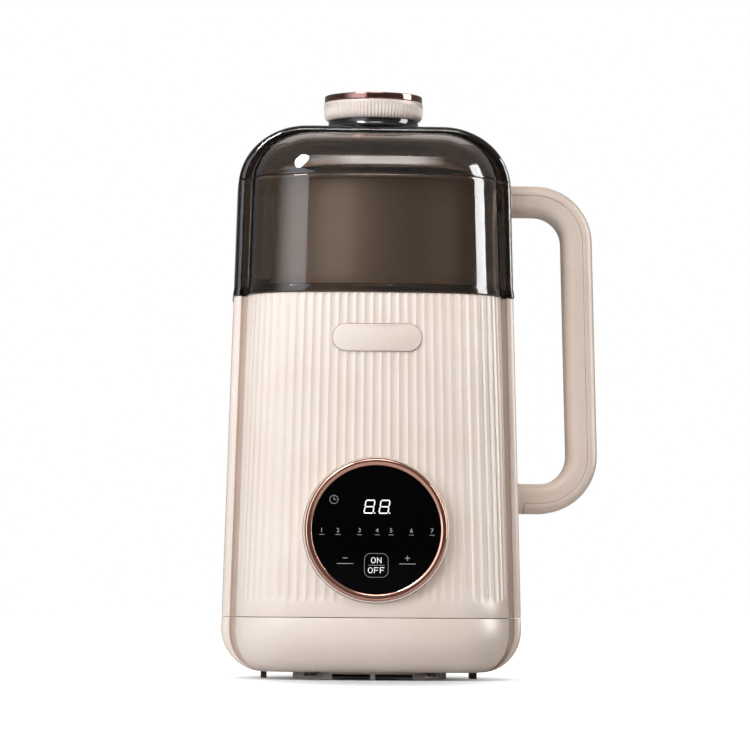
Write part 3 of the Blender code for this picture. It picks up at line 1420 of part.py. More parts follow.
def board_back_y():
    """Rear face of the power board, clear of the frame's rear legs."""
    leg_y = max(y for _, y in leg_places())
    return leg_y + FRAME_LEG_RADIUS + POWER_BOARD_LEG_GAP + BOARD_THICK


def board_posts():
    """Places of the four posts behind the power board, as (x, z)."""
    across = POWER_BOARD_WIDTH / 2 - BOARD_POST_INSET
    up = POWER_BOARD_HEIGHT / 2 - BOARD_POST_INSET
    return [(hand * across, power_board_z() + side * up) for hand in (-1, 1) for side in (-1, 1)]


def make_power_board(parent):
    """Power board on its posts behind the motor."""
    back = board_back_y()
    half, tall = POWER_BOARD_WIDTH / 2, POWER_BOARD_HEIGHT / 2
    add_piece("power_board", box_mesh((-half, back - BOARD_THICK, power_board_z() - tall),
                                      (half, back, power_board_z() + tall)),
              parent, finish("power_board", BOARD_GREEN, 0.5), smooth=False)


def inlet_block(grow, overrun):
    """Block of the inlet's outside, for the piece itself or for its hole."""
    outside = plan_at(INLET_Z).rear + INLET_PROUD
    half, tall = INLET_WIDTH / 2 + grow, INLET_HEIGHT / 2 + grow
    return box_mesh((-half, outside - INLET_DEPTH - overrun, INLET_Z - tall),
                    (half, outside + overrun, INLET_Z + tall))


def make_inlet(parent):
    """Socket for a mains lead, with three flat pins."""
    outside = plan_at(INLET_Z).rear + INLET_PROUD
    inlet = add_piece("power_inlet", inlet_block(0.0, 0.0), parent,
                      finish("inlet", BLACK, 0.5), smooth=False)
    floor_y = outside - INLET_DEPTH + INLET_FLOOR
    half, tall = INLET_WIDTH / 2 - INLET_WALL, INLET_HEIGHT / 2 - INLET_WALL
    cut(inlet, "socket_recess", box_mesh((-half, floor_y, INLET_Z - tall),
                                         (half, outside + CUT_OVERRUN, INLET_Z + tall)))
    pins = []
    for x, z in ((-PIN_SPREAD, -PIN_DROP), (0.0, 0.0), (PIN_SPREAD, -PIN_DROP)):
        pins.append(box_mesh((x - PIN_WIDTH / 2, floor_y - INLET_FLOOR / 2,
                              INLET_Z + z - PIN_HEIGHT / 2),
                             (x + PIN_WIDTH / 2, floor_y + PIN_LENGTH,
                              INLET_Z + z + PIN_HEIGHT / 2)))
    weld_on(inlet, "inlet_pins", join_meshes(pins[0], pins[1:]))


# Handle

def wall_x(z):
    """Right side of the rear shell at a height."""
    return plan_at(z).rear_half


def low_screw_z():
    """Height of the screw in the handle's lower root."""
    return HANDLE_LOW_Z + HANDLE_SCREW_SHIFT


def top_screw_z():
    """Height of the screw in the handle's upper root."""
    return HANDLE_TOP_Z - HANDLE_SCREW_SHIFT


def handle_screw_rod(z, grow, overrun):
    """Straight hole for a handle screw, from inside the wall into the root."""
    inside = wall_x(z) - PLASTIC_WALL - overrun
    tip = wall_x(z) + FIT_GAP + HANDLE_SCREW_GRIP + grow
    return rod_mesh((inside, HANDLE_Y, z), (tip, HANDLE_Y, z), HANDLE_SCREW_RADIUS + grow, 14)


def fillet(before, corner, after, radius, steps):
    """Places and outward normals round a bend of the handle's centre line."""
    inward = (corner - before).normalized()
    outward = (after - corner).normalized()
    turn = inward.angle(outward)
    setback = radius * math.tan(turn / 2)
    start = corner - inward * setback
    normal = Vector((-inward.y, inward.x))
    centre = start - normal * radius
    stations = []
    for i in range(steps + 1):
        angle = -turn * i / steps
        spun = Vector((normal.x * math.cos(angle) - normal.y * math.sin(angle),
                       normal.x * math.sin(angle) + normal.y * math.cos(angle)))
        stations.append((centre + spun * radius, spun))
    return stations


def handle_line():
    """Stations along the handle, from the upper root round to the lower root."""
    top_start = Vector((wall_x(HANDLE_TOP_Z) + FIT_GAP, HANDLE_TOP_Z))
    top_corner = Vector((wall_x(HANDLE_TOP_Z) + HANDLE_REACH, HANDLE_TOP_Z))
    low_corner = Vector((wall_x(HANDLE_LOW_Z) + HANDLE_REACH, HANDLE_LOW_Z))
    low_end = Vector((wall_x(HANDLE_LOW_Z) + FIT_GAP, HANDLE_LOW_Z))
    bends = fillet(top_start, top_corner, low_corner, HANDLE_BEND, HANDLE_BEND_STEPS)
    bends += fillet(top_corner, low_corner, low_end, HANDLE_BEND, HANDLE_BEND_STEPS)
    return top_start, bends, low_end


def grip_section(low, high, low_edge, high_edge, seam):
    """Points of a handle section as (out, across), with a point at the seam each side."""
    half = HANDLE_DEPTH / 2
    points = []
    for out, across, edge, start in ((high, half, high_edge, 0), (low, half, low_edge, 1),
                                     (low, -half, low_edge, 2), (high, -half, high_edge, 3)):
        centre = (out - math.copysign(edge, out - (low + high) / 2),
                  across - math.copysign(edge, across))
        for i in range(HANDLE_EDGE_STEPS + 1):
            angle = math.pi / 2 * (start + i / HANDLE_EDGE_STEPS)
            points.append((centre[0] + edge * math.cos(angle), centre[1] + edge * math.sin(angle)))
        if start in (0, 2):
            points.append((seam, across))
    return points


def section_loop(place, normal, points, flare=(0.0, 0.0), wall_end=False):
    """A handle section set across the centre line, flared towards a root."""
    loop = []
    for out, across in points:
        grow = flare[0] if out < 0 else flare[1]
        out_here = out * (1.0 + grow / (HANDLE_THICK / 2))
        across_here = across * (1.0 + flare[0] / (HANDLE_DEPTH / 2))
        spot = place + normal * out_here
        x = wall_x(spot.y) + FIT_GAP if wall_end else spot.x
        loop.append(Vector((x, HANDLE_Y + across_here, spot.y)))
    return loop


def flare_at(distance):
    """Flare of the root at a distance from the wall."""
    left = max(0.0, HANDLE_FLARE - distance)
    return HANDLE_FLARE - math.sqrt(HANDLE_FLARE ** 2 - left ** 2)


def make_handle(parent):
    """Inner and outer half of the handle, with the two screws that hold it."""
    half = HANDLE_THICK / 2
    seam = -half + HANDLE_SEAM_SHARE * HANDLE_THICK
    inner_top, outer_low = seam - FIT_GAP / 2, seam + FIT_GAP / 2
    inner = grip_section(-half, inner_top, HANDLE_EDGE, 0.0, inner_top)
    whole = grip_section(-half, half, HANDLE_EDGE, half - outer_low, inner_top)
    outer = grip_section(outer_low, half, 0.0, half - outer_low, outer_low)
    start, bends, end = handle_line()
    up, down = Vector((0.0, 1.0)), Vector((0.0, -1.0))
    away = Vector((1.0, 0.0))
    distances = [HANDLE_FLARE * i / HANDLE_FLARE_STEPS for i in range(HANDLE_FLARE_STEPS + 1)]
    loops = []
    for distance in distances:
        flare = (flare_at(distance), 0.0)
        loops.append(section_loop(start + away * distance, up, inner, flare, distance == 0.0))
    loops += [section_loop(place, normal, inner) for place, normal in bends]
    loops.append(section_loop(end + away * HANDLE_ROOT_LENGTH, down, inner))
    loops.append(section_loop(end + away * HANDLE_ROOT_LENGTH, down, whole))
    for distance in reversed(distances):
        flare = (flare_at(distance), flare_at(distance))
        loops.append(section_loop(end + away * distance, down, whole, flare, distance == 0.0))
    grip = add_piece("handle_inner", solid_mesh(loops), parent, finish("handle_cream", CREAM, 0.42))
    cut(grip, "top_screw_bore", handle_screw_rod(top_screw_z(), FIT_GAP, CUT_OVERRUN))
    cut(grip, "low_screw_bore", handle_screw_rod(low_screw_z(), FIT_GAP, CUT_OVERRUN))
    loops = [section_loop(start, up, outer, wall_end=True)]
    loops += [section_loop(place, normal, outer) for place, normal in bends]
    loops.append(section_loop(end + away * (HANDLE_ROOT_LENGTH + FIT_GAP), down, outer))
    add_piece("handle_cover", solid_mesh(loops), parent, finish("handle_cover", CREAM, 0.42))
    make_handle_screws(parent)


def make_handle_screws(parent):
    """Screws from inside the walls into the handle's two roots."""
    for name, z in (("handle_screw_top", top_screw_z()), ("handle_screw_low", low_screw_z())):
        head = wall_x(z) - PLASTIC_WALL - RUNNING_GAP
        tip = wall_x(z) + HANDLE_SCREW_GRIP
        low = head - HANDLE_SCREW_HEAD_THICK
        profile = [(0.0, low), (HANDLE_SCREW_HEAD, low), (HANDLE_SCREW_HEAD, head),
                   (HANDLE_SCREW_RADIUS, head), (HANDLE_SCREW_RADIUS, tip), (0.0, tip)]
        screw = turned_mesh(profile, 14)
        turn = Matrix.Translation((0, HANDLE_Y, z)) @ Matrix.Rotation(math.pi / 2, 4, "Y")
        bmesh.ops.transform(screw, matrix=turn, verts=screw.verts)
        add_piece(name, screw, parent, finish(name, STEEL, 0.35, 1.0))


# Assembly

def centre_on_origin(machine):
    """Move the whole machine so that the middle of its plan is over the origin."""
    bpy.context.view_layer.update()
    lows, highs = [], []
    for piece in bpy.data.objects:
        if piece.type == "MESH" and not piece.hide_render:
            corners = [piece.matrix_world @ Vector(corner) for corner in piece.bound_box]
            lows.append(Vector([min(c[i] for c in corners) for i in range(3)]))
            highs.append(Vector([max(c[i] for c in corners) for i in range(3)]))
    low = Vector([min(p[i] for p in lows) for i in range(3)])
    high = Vector([max(p[i] for p in highs) for i in range(3)])
    machine.location = (-(low.x + high.x) / 2, -(low.y + high.y) / 2, 0.0)
    print("axis of the cup at", [round(v, 6) for v in machine.location], "size", high - low)


def build():
    """Make every piece and stand the machine over the origin."""
    remove_everything()
    machine = add_carrier("machine", (0, 0, 0))
    lid = add_carrier("lid_carrier", (0, 0, 0), machine)
    knob = add_carrier("knob_carrier", (0, 0, 0), lid)
    rotor = add_carrier("rotor_carrier", (0, 0, 0), machine)
    make_base_shell(machine)
    make_front_shell(machine)
    make_rear_shell(machine)
    make_upper_shell(machine)
    make_cup(machine)
    make_probes(machine)
    make_cup_collar(machine)
    make_heater(machine)
    make_frame(machine)
    make_motor(machine, rotor)
    make_fan(rotor)
    make_shaft_line(machine, rotor)
    make_blades(rotor)
    make_panel(machine)
    make_name_plate(machine)
    make_bottom_screws(machine)
    make_feet(machine)
    make_power_board(machine)
    make_inlet(machine)
    make_handle(machine)
    make_lid_cover(lid)
    make_pedestal(lid)
    make_knob_grip(knob)
    make_knob_trim(knob)
    make_spindle(knob)
    make_inner_lid(knob)
    centre_on_origin(machine)


build()
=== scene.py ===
# %% [markdown]
# A countertop soy milk maker, dressed for a studio photograph. The real machine
# is a cream moulded body on a round skirt, a smoked clear dome over a steel cup,
# a ribbed knob, a side handle and a round touch panel. The CAD model gives every
# piece its place, so this lesson starts by loading it as a fixed frame, and each
# new piece is built where its CAD node already stands.

# %% Load the frame
import json
import math

import bmesh
import bpy
from mathutils import Matrix, Vector


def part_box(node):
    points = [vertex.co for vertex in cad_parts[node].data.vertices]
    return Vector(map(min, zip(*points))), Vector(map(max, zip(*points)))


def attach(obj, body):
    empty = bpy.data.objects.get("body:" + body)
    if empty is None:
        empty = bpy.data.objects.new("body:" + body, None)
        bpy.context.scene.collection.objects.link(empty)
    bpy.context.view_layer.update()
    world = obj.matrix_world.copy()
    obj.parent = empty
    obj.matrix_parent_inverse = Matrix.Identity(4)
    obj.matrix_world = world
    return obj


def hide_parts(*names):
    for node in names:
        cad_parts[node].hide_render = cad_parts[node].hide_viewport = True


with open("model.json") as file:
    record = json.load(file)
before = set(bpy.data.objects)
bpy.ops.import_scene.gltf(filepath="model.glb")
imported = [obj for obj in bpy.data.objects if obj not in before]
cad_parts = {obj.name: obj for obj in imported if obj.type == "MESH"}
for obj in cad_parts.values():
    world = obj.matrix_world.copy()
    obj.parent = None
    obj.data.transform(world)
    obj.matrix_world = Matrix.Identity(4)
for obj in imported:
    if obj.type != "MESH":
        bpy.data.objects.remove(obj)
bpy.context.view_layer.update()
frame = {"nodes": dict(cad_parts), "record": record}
knob_low, knob_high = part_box("knob_grip")
AXIS = Vector(((knob_low.x + knob_high.x) / 2, (knob_low.y + knob_high.y) / 2, 0.0))

# %% [markdown]
# Everything below repeats a few moves: data is put into the scene as an object,
# and nodes are wired into a tree. One helper adds a node with its options and
# inputs, and links an input where it is given a socket, or sets it where it is
# given a value. It keeps each tree short enough to read as a recipe.

# %% Scene and node helpers
WHITE = (1.0, 1.0, 1.0)


def put_in_scene(name, data):
    """An object with its data, linked into the scene."""
    item = bpy.data.objects.new(name, data)
    bpy.context.scene.collection.objects.link(item)
    return item


def add_node(tree, kind, inputs=(), **options):
    """A node with its options, and its inputs in order or by name."""
    node = tree.nodes.new(kind)
    for title, value in options.items():
        setattr(node, title, value)
    for key, value in inputs.items() if isinstance(inputs, dict) else enumerate(inputs):
        if isinstance(value, bpy.types.NodeSocket):
            tree.links.new(value, node.inputs[key])
        else:
            node.inputs[key].default_value = value
    return node


def maths(tree, operation, *values):
    """A maths node over numbers or sockets."""
    return add_node(tree, "ShaderNodeMath", values, operation=operation).outputs[0]


def ramp(tree, value, low, high, start=0.0, end=1.0):
    """A smooth step of a value from one range into another."""
    spans = {"Value": value, "From Min": low, "From Max": high, "To Min": start, "To Max": end}
    step = add_node(tree, "ShaderNodeMapRange", spans, interpolation_type="SMOOTHSTEP")
    return step.outputs["Result"]


def split_xyz(tree, vector):
    """The three parts of a vector, by name."""
    return add_node(tree, "ShaderNodeSeparateXYZ", (vector,)).outputs


def noise(tree, place, scale, detail=2.0, rough=0.5):
    """A noise texture on a place, its scale a number or a socket."""
    inputs = {"Vector": place, "Scale": scale, "Detail": detail, "Roughness": rough}
    return add_node(tree, "ShaderNodeTexNoise", inputs).outputs["Fac"]


def blend_colours(tree, mask, first, second):
    """A colour between two, by a mask."""
    inputs = {"Factor": mask, "A": (*first, 1.0), "B": (*second, 1.0)}
    return add_node(tree, "ShaderNodeMix", inputs, data_type="RGBA").outputs["Result"]


def place_of(tree, centred=False):
    """Object coordinates, moved so that the cup's axis is their middle if asked."""
    place = add_node(tree, "ShaderNodeTexCoord").outputs["Object"]
    if not centred:
        return place
    shift = {"Vector": place, "Location": (-AXIS.x, -AXIS.y, 0.0)}
    return add_node(tree, "ShaderNodeMapping", shift).outputs["Vector"]


def start_finish(name, colour, roughness, metallic=0.0, **sockets):
    """A material with a Principled shader and plain numbers on its sockets."""
    material = bpy.data.materials.new(name)
    material.use_nodes = True
    shader = material.node_tree.nodes["Principled BSDF"]
    shader.inputs["Base Color"].default_value = (*colour, 1.0)
    shader.inputs["Roughness"].default_value = roughness
    shader.inputs["Metallic"].default_value = metallic
    for title, value in sockets.items():
        shader.inputs[title.replace("_", " ")].default_value = value
    return material, material.node_tree, shader


def feed(tree, node, **sockets):
    """Link values into the named inputs of a node."""
    for title, value in sockets.items():
        tree.links.new(value, node.inputs[title.replace("_", " ")])
    return tree


print("helpers for the scene and its nodes are ready")

# %% [markdown]
# The photograph was taken from about 2.3 m with a long lens, a little above the
# table and a little to the machine's left, looking up by three degrees. A long
# lens flattens the machine, so the camera could not simply be moved closer with
# a short one: the ellipses of the knob and the panel would open up. The camera's
# turns are made in order: level, pitch up, yaw towards the axis, and a slight roll.

# %% Camera
CAMERA_DISTANCE, CAMERA_HEIGHT, CAMERA_LENS = 2.320, 0.041, 207.8
CAMERA_YAW, CAMERA_PITCH = math.radians(2.40), math.radians(3.00)
CAMERA_ROLL, CAMERA_AIM = math.radians(0.40), math.radians(0.046)
camera_data = bpy.data.cameras.new("studio_camera")
camera_data.lens = CAMERA_LENS
camera_data.sensor_width = 36.0
camera_data.clip_end = 50.0
camera = put_in_scene("studio_camera", camera_data)
stand = AXIS + Vector((-math.sin(CAMERA_YAW), -math.cos(CAMERA_YAW), 0.0)) * CAMERA_DISTANCE
camera.matrix_world = (Matrix.Translation((stand.x, stand.y, CAMERA_HEIGHT))
                       @ Matrix.Rotation(-CAMERA_YAW - CAMERA_AIM, 4, "Z")
                       @ Matrix.Rotation(math.pi / 2 + CAMERA_PITCH, 4, "X")
                       @ Matrix.Rotation(CAMERA_ROLL, 4, "Z"))
bpy.context.scene.camera = camera
print("camera at", [round(v, 3) for v in camera.matrix_world.translation])

# %% [markdown]
# The studio is a pale sweep. Only the camera sees the bright backdrop, so the
# gloss of the dome reflects a dimmer room with separate soft boxes in it, as it
# does between black flags in a real studio. The room is lighter overhead. The
# floor carries a painted glow that only the camera sees, so it turns white away
# from the machine, and the oval round the base where the glow fades stays grey
# as painted shade over the real shadow.

# %% Room and floor
ROOM_COLOUR, ROOM_DIM, ROOM_LIGHT = (1.0, 0.965, 0.93), 0.07, 0.50
ROOM_LEAN, ROOM_LOW, ROOM_HIGH = 0.2, -0.5, 1.3
FLOOR_RADIUS, FLOOR_SPECKS = 14.0, 40.0
FLOOR_TONES = (0.67, 0.665, 0.66), (0.70, 0.695, 0.69)
# Shift, scale and span of the floor's painted glow; where it fades, a grey oval of painted shade
# is left round the machine.
FADE_SHIFT, FADE_SCALE, FADE_SPAN = (0.13, 0.12, 0.0), (6.2, 2.4, 0.0), (0.12, 0.80)


def light_world():
    """White for the camera; a dim room, lighter overhead, for everything else."""
    world = bpy.data.worlds.new("studio_room")
    bpy.context.scene.world = world
    world.use_nodes = True
    tree = world.node_tree
    tree.nodes.clear()
    way = split_xyz(tree, add_node(tree, "ShaderNodeTexCoord").outputs["Generated"])
    level = ramp(tree, maths(tree, "MULTIPLY_ADD", way["Y"], ROOM_LEAN, way["Z"]),
                 ROOM_LOW, ROOM_HIGH, ROOM_DIM, ROOM_LIGHT)
    seen = add_node(tree, "ShaderNodeBackground", {"Color": (*WHITE, 1.0)})
    room = add_node(tree, "ShaderNodeBackground",
                    {"Color": (*ROOM_COLOUR, 1.0), "Strength": level})
    ray = add_node(tree, "ShaderNodeLightPath").outputs["Is Camera Ray"]
    mix = add_node(tree, "ShaderNodeMixShader", (ray, room.outputs[0], seen.outputs[0]))
    add_node(tree, "ShaderNodeOutputWorld", (mix.outputs[0],))


def lay_floor():
    """A pale sweep with a painted glow that turns it white away from the machine."""
    bm = bmesh.new()
    bmesh.ops.create_circle(bm, cap_ends=True, radius=FLOOR_RADIUS, segments=96)
    mesh = bpy.data.meshes.new("studio_floor")
    bm.to_mesh(mesh)
    bm.free()
    paint, tree, shader = start_finish("studio_floor", FLOOR_TONES[0], 0.9,
                                       Specular_IOR_Level=0.1, Emission_Color=(*WHITE, 1.0))
    place = place_of(tree)
    # Painted glow: the camera sees the floor glow whiter away from the machine, and the grey oval
    # left round the base is painted shade over the real shadow.
    shape = add_node(tree, "ShaderNodeMapping",
                     {"Vector": place, "Location": FADE_SHIFT, "Scale": FADE_SCALE})
    far = add_node(tree, "ShaderNodeVectorMath", (shape.outputs[0],), operation="LENGTH")
    ray = add_node(tree, "ShaderNodeLightPath").outputs["Is Camera Ray"]
    feed(tree, shader,
         Base_Color=blend_colours(tree, noise(tree, place, FLOOR_SPECKS), *FLOOR_TONES),
         Emission_Strength=maths(tree, "MULTIPLY", ramp(tree, far.outputs["Value"], *FADE_SPAN),
                                 ray))
    mesh.materials.append(paint)
    put_in_scene("studio_floor", mesh)


light_world()
lay_floor()
bpy.context.scene.view_settings.view_transform = "Standard"
print("room", bpy.context.scene.world.name, "and a floor of", 2 * FLOOR_RADIUS, "m across")

# %% [markdown]
# Each lamp is placed from where its reflection lies on the machine: a broad cool
# key at the left, a tall strip at the right, an oval for the left corner of the
# dome, and a streak and a softer shelf of light above its front. The cloth of
# three of them fades out at its sides, because a hard edge shows in smoked
# plastic. A large one behind rims the shoulders. The fills light the cream and
# are not mirrored in any gloss; the strip and the oval are mirrored and light
# nothing else.

# %% Lamps
COOL, WARM = (0.930, 0.995, 1.080), (1.0, 0.920, 0.840)
LAMP_TARGET = AXIS + Vector((0, 0, 0.17))
FILL, MIRRORED = ("glossy",), ("diffuse", "transmission")
# name, azimuth, elevation, distance, width, height, watts, colour, rays that miss it
LAMPS = [("key_softbox", -48.5, 12, 1.25, 1.34, 1.10, 11.0, COOL, ()),
         ("key_fill", -42, 16, 1.25, 0.80, 1.00, 3.8, COOL, FILL),
         ("front_fill", -9, 14, 1.25, 0.40, 1.00, 0.8, WHITE, FILL),
         ("left_fill", -98, 8, 1.20, 0.60, 1.00, 2.3, COOL, FILL),
         ("right_fill", 78, 10, 1.30, 0.90, 1.00, 0.8, WARM, FILL),
         ("right_strip", 85, 10, 1.05, 0.41, 1.10, 19.0, WHITE, MIRRORED),
         ("corner_lamp", -40, 49, 1.25, 0.36, 0.62, 18.0, WHITE, MIRRORED),
         ("front_top_softbox", 8.5, 54.5, 1.40, 0.74, 0.44, 7.9, WHITE, ()),
         ("top_left_softbox", -14, 54.5, 1.40, 0.38, 0.50, 1.7, WHITE, ()),
         ("back_top_softbox", 178, 50, 1.50, 1.20, 0.60, 2.2, WHITE, ())]
# name, share of the width over which the cloth fades at the left and at the right
FEATHERS = [("key_softbox", 0.62, 0.01), ("front_top_softbox", 0.30, 0.36),
            ("top_left_softbox", 0.25, 0.25)]


def add_softbox(name, azimuth, elevation, distance, width, height, watts, colour, missed):
    """An area light round the machine; azimuth 0 is the front, positive to the right."""
    lamp = bpy.data.lights.new(name, "AREA")
    lamp.shape = "ELLIPSE" if name == "corner_lamp" else "RECTANGLE"
    lamp.size, lamp.size_y = width, height
    lamp.energy, lamp.color = watts, colour
    holder = put_in_scene(name, lamp)
    a, e = math.radians(azimuth), math.radians(elevation)
    away = Vector((math.sin(a) * math.cos(e), -math.cos(a) * math.cos(e), math.sin(e)))
    holder.location = LAMP_TARGET + away * distance
    holder.rotation_mode = "QUATERNION"
    holder.rotation_quaternion = (-away).to_track_quat("-Z", "Y")
    for ray in missed:
        setattr(holder, "visible_" + ray, False)


def feather(lamp, left, right):
    """Let the cloth of a soft box fade out over a share of its width at each side."""
    lamp.use_nodes = True
    tree = lamp.node_tree
    place = add_node(tree, "ShaderNodeNewGeometry").outputs["Parametric"]
    across = split_xyz(tree, place)["X"]
    glow = maths(tree, "MULTIPLY", ramp(tree, across, 0.0, left),
                 ramp(tree, across, 1.0, 1.0 - right))
    feed(tree, tree.nodes["Emission"], Strength=glow)


for row in LAMPS:
    add_softbox(*row)
for name, left, right in FEATHERS:
    feather(bpy.data.lights[name], left, right)
print("lamps:", [row[0] for row in LAMPS])

# %% [markdown]
# The body's plan changes with height: it leans in with the draft of the mould,
# and rounds over at the shoulders and under the base. One function gives the
# plan at any height, and every shell is lofted through it, so the seams of
# neighbouring shells stay in line without any fitting.

# %% Plan of the body
FIT_GAP, WALL, OVERRUN = 0.0003, 0.0026, 0.0030
STANCE_Z, BASE_SEAM_Z, UPPER_SEAM_Z = 0.0040, 0.0327, 0.2025
LID_SPLIT_Z, DOME_TOP_Z = 0.2645, 0.2940
SHOULDER_WIDTH, SHOULDER_RISE = 0.0365, 0.0330
ARCH_STEP, ARCH_STEP_TOP = 0.0072, 0.0045
FRONT_SHOULDER, REAR_SHOULDER = 0.0300, 0.0340
BASE_ROUND = 0.0220
SHOULDER_Z = DOME_TOP_Z - SHOULDER_RISE
BASE_ROUND_Z = STANCE_Z + BASE_ROUND
DRAFT = 0.0288
HALF_WIDTH, FRONT_REACH, REAR_REACH = 0.0791, 0.0719, 0.0690
FRONT_CORNER, REAR_CORNER = 0.0345, 0.0380
FRONT_BULGE, REAR_BULGE = 0.2140, 0.2600
GROOVE_PLANE_Y, GROOVE_DEPTH = -0.0280, 0.0042
LIP_WIDTH, LIP_DEPTH = 0.0038, 0.0032
FRONT_STEPS, REAR_STEPS, LIP_STEPS = 72, 72, 8


def quarter(steps):
    """Angles of a quarter turn in even steps, both ends included."""
    return [math.pi / 2 * i / steps for i in range(steps + 1)]


def rounding(rise, total):
    """How far an elliptic quarter has turned in, as a share, after a rise."""
    share = min(1.0, max(0.0, rise / total))
    return 1.0 - math.sqrt(1.0 - share * share)


def body_plan(z):
    """Half width, reach and corner radius of the front and of the rear at a height."""
    lean = DRAFT * (min(max(z, BASE_ROUND_Z), SHOULDER_Z) - BASE_SEAM_Z)
    return leaned_plan(lean, rounding(z - SHOULDER_Z, SHOULDER_RISE - ARCH_STEP_TOP),
                       rounding(z - SHOULDER_Z, SHOULDER_RISE),
                       rounding(BASE_ROUND_Z - z, BASE_ROUND))


def leaned_plan(lean, over_front, over_rear, under):
    """Plan from the draft and the shares of shoulder and base rounding."""
    half = HALF_WIDTH - lean
    front_round = BASE_ROUND - ARCH_STEP
    front = (half - ARCH_STEP - (SHOULDER_WIDTH - ARCH_STEP) * over_front - front_round * under,
             FRONT_REACH - lean - FRONT_SHOULDER * over_front - BASE_ROUND * under,
             FRONT_CORNER - FRONT_SHOULDER * over_front - front_round * under)
    rear = (half - SHOULDER_WIDTH * over_rear - BASE_ROUND * under,
            REAR_REACH - lean - REAR_SHOULDER * over_rear - BASE_ROUND * under,
            REAR_CORNER - REAR_SHOULDER * over_rear - BASE_ROUND * under)
    return front, rear


def end_lengths(size, bulge, stop):
    """Lengths of half an end: bulged face, corner and straight side to the stop."""
    half, reach, corner = size
    run = math.sqrt((bulge - corner) ** 2 - (half - corner) ** 2)
    spread = math.asin((half - corner) / (bulge - corner))
    centre = reach - bulge + run
    return bulge * spread, corner * (math.pi / 2 - spread), centre - stop, centre


def end_point(size, bulge, stop, share):
    """Point and outward normal on a rounded end, share -1 to 1 from side to side."""
    half, reach, corner = size
    face, turn, side, corner_centre = end_lengths(size, bulge, stop)
    walked = abs(share) * (face + turn + side)
    hand = math.copysign(1.0, share)
    if walked <= face:
        angle = walked / bulge
        normal = (hand * math.sin(angle), math.cos(angle))
        return (bulge * normal[0], reach - bulge + bulge * normal[1]), normal
    if walked <= face + turn:
        angle = math.pi / 2 - face / bulge - (walked - face) / corner
        normal = (hand * math.cos(angle), math.sin(angle))
        across = hand * (half - corner) + corner * normal[0]
        return (across, corner_centre + corner * normal[1]), normal
    return (hand * half, corner_centre - (walked - face - turn)), (hand, 0.0)


def inset_size(size, inset):
    """The same end moved in by a wall thickness."""
    return size[0] - inset, size[1] - inset, max(size[2] - inset, FIT_GAP)


def end_row(size, bulge, stop, steps):
    """A rounded end in even steps from side to side, as (x, y)."""
    return [end_point(size, bulge, stop, 2.0 * i / steps - 1.0)[0] for i in range(steps + 1)]


def front_row(size, inset, stop_y, z):
    """Front outline at a height, from the left to the right."""
    ends = end_row(inset_size(size, inset), FRONT_BULGE, -stop_y, FRONT_STEPS)
    return [Vector((x, -y, z)) for x, y in ends]


def rear_row(size, inset, stop_y, z):
    """Rear outline at a height, from the right to the left."""
    ends = end_row(inset_size(size, inset), REAR_BULGE, stop_y, REAR_STEPS)
    return [Vector((x, y, z)) for x, y in reversed(ends)]


def mirror_row(row):
    """The same points on the other side, walked the other way."""
    return [Vector((-p.x, p.y, p.z)) for p in reversed(row)]


def whole_row(front, rear, inset, stops, heights, side):
    """A row all the way round: front, right side, rear and the side mirrored."""
    return (front_row(front, inset, stops[0], heights[0]) + side
            + rear_row(rear, inset, stops[1], heights[1]) + mirror_row(side))


def inner_row(front, rear, inset, web_y, heights):
    """Inside row with a plain step at each side, matched point for point to an outer row."""
    side = [Vector((front[0] - inset, web_y, heights[0]))]
    side += [Vector((rear[0] - inset, web_y, heights[1]))] * (LIP_STEPS + 2)
    return whole_row(front, rear, inset, (web_y, web_y), heights, side)


def groove_left(z):
    """Share of the arch groove that is left as it runs out under the base."""
    return 1.0 - rounding(BASE_ROUND_Z - z, BASE_ROUND)


def groove_floor_y(z):
    """Depth position of the arch groove's floor."""
    return GROOVE_PLANE_Y + GROOVE_DEPTH * groove_left(z)


def lip_row(z, proud=0.0):
    """Right side of the arch groove, from the front's side out to the rear's."""
    front, rear = body_plan(z)
    left = groove_left(z)
    lip_x = rear[0] - LIP_WIDTH * left + proud
    row = [Vector((front[0] + proud, groove_floor_y(z), z)), Vector((lip_x, groove_floor_y(z), z))]
    return row + [Vector((lip_x + LIP_WIDTH * left * math.sin(a),
                          GROOVE_PLANE_Y + LIP_DEPTH * left * (1.0 - math.cos(a)), z))
                  for a in quarter(LIP_STEPS)]


def outline(z, proud=0.0):
    """Whole outside at a height: front, groove, rear and groove again."""
    lip_y = GROOVE_PLANE_Y + LIP_DEPTH * groove_left(z)
    return whole_row(*body_plan(z), -proud, (groove_floor_y(z), lip_y), (z, z), lip_row(z, proud))


def lining(z, inset=WALL):
    """Inside at a height, matched point for point to the outline."""
    return inner_row(*body_plan(z), inset, groove_floor_y(z) + inset, (z, z))


print("plan at the seam", [round(v, 4) for v in body_plan(UPPER_SEAM_Z)[0]])

# %% [markdown]
# A piece is drawn as points first and becomes faces only at the end. These
# helpers are the few ways in which faces are laid over rows of points: a closed
# wall, an open wall, a tub with a floor, a solid, and a turned shape. Shared
# points are found by place, so that every shell comes out watertight.

# %% Mesh helpers
def polar(radius, angle):
    """Place on a circle round the origin, as (x, y)."""
    return radius * math.cos(angle), radius * math.sin(angle)


def full_turn(steps):
    """Angles of a full turn in even steps."""
    return [2.0 * math.pi * i / steps for i in range(steps)]


def arc(x, y, wide, high, angles):
    """Points on a circle or an oval about a place."""
    return [(x + wide * math.cos(a), y + high * math.sin(a)) for a in angles]


def ring_corners(near, far, low, high, marks):
    """Four corners of a ring's section, each with how much it is rounded."""
    places = ((near, low), (far, low), (far, high), (near, high))
    return [(r, z, mark) for (r, z), mark in zip(places, marks)]


def add_face(bm, corners):
    """A face over its different corners, or nothing where fewer than three are left."""
    kept = list(dict.fromkeys(corners))
    if len(kept) > 2 and not bm.faces.get(kept):
        bm.faces.new(kept)


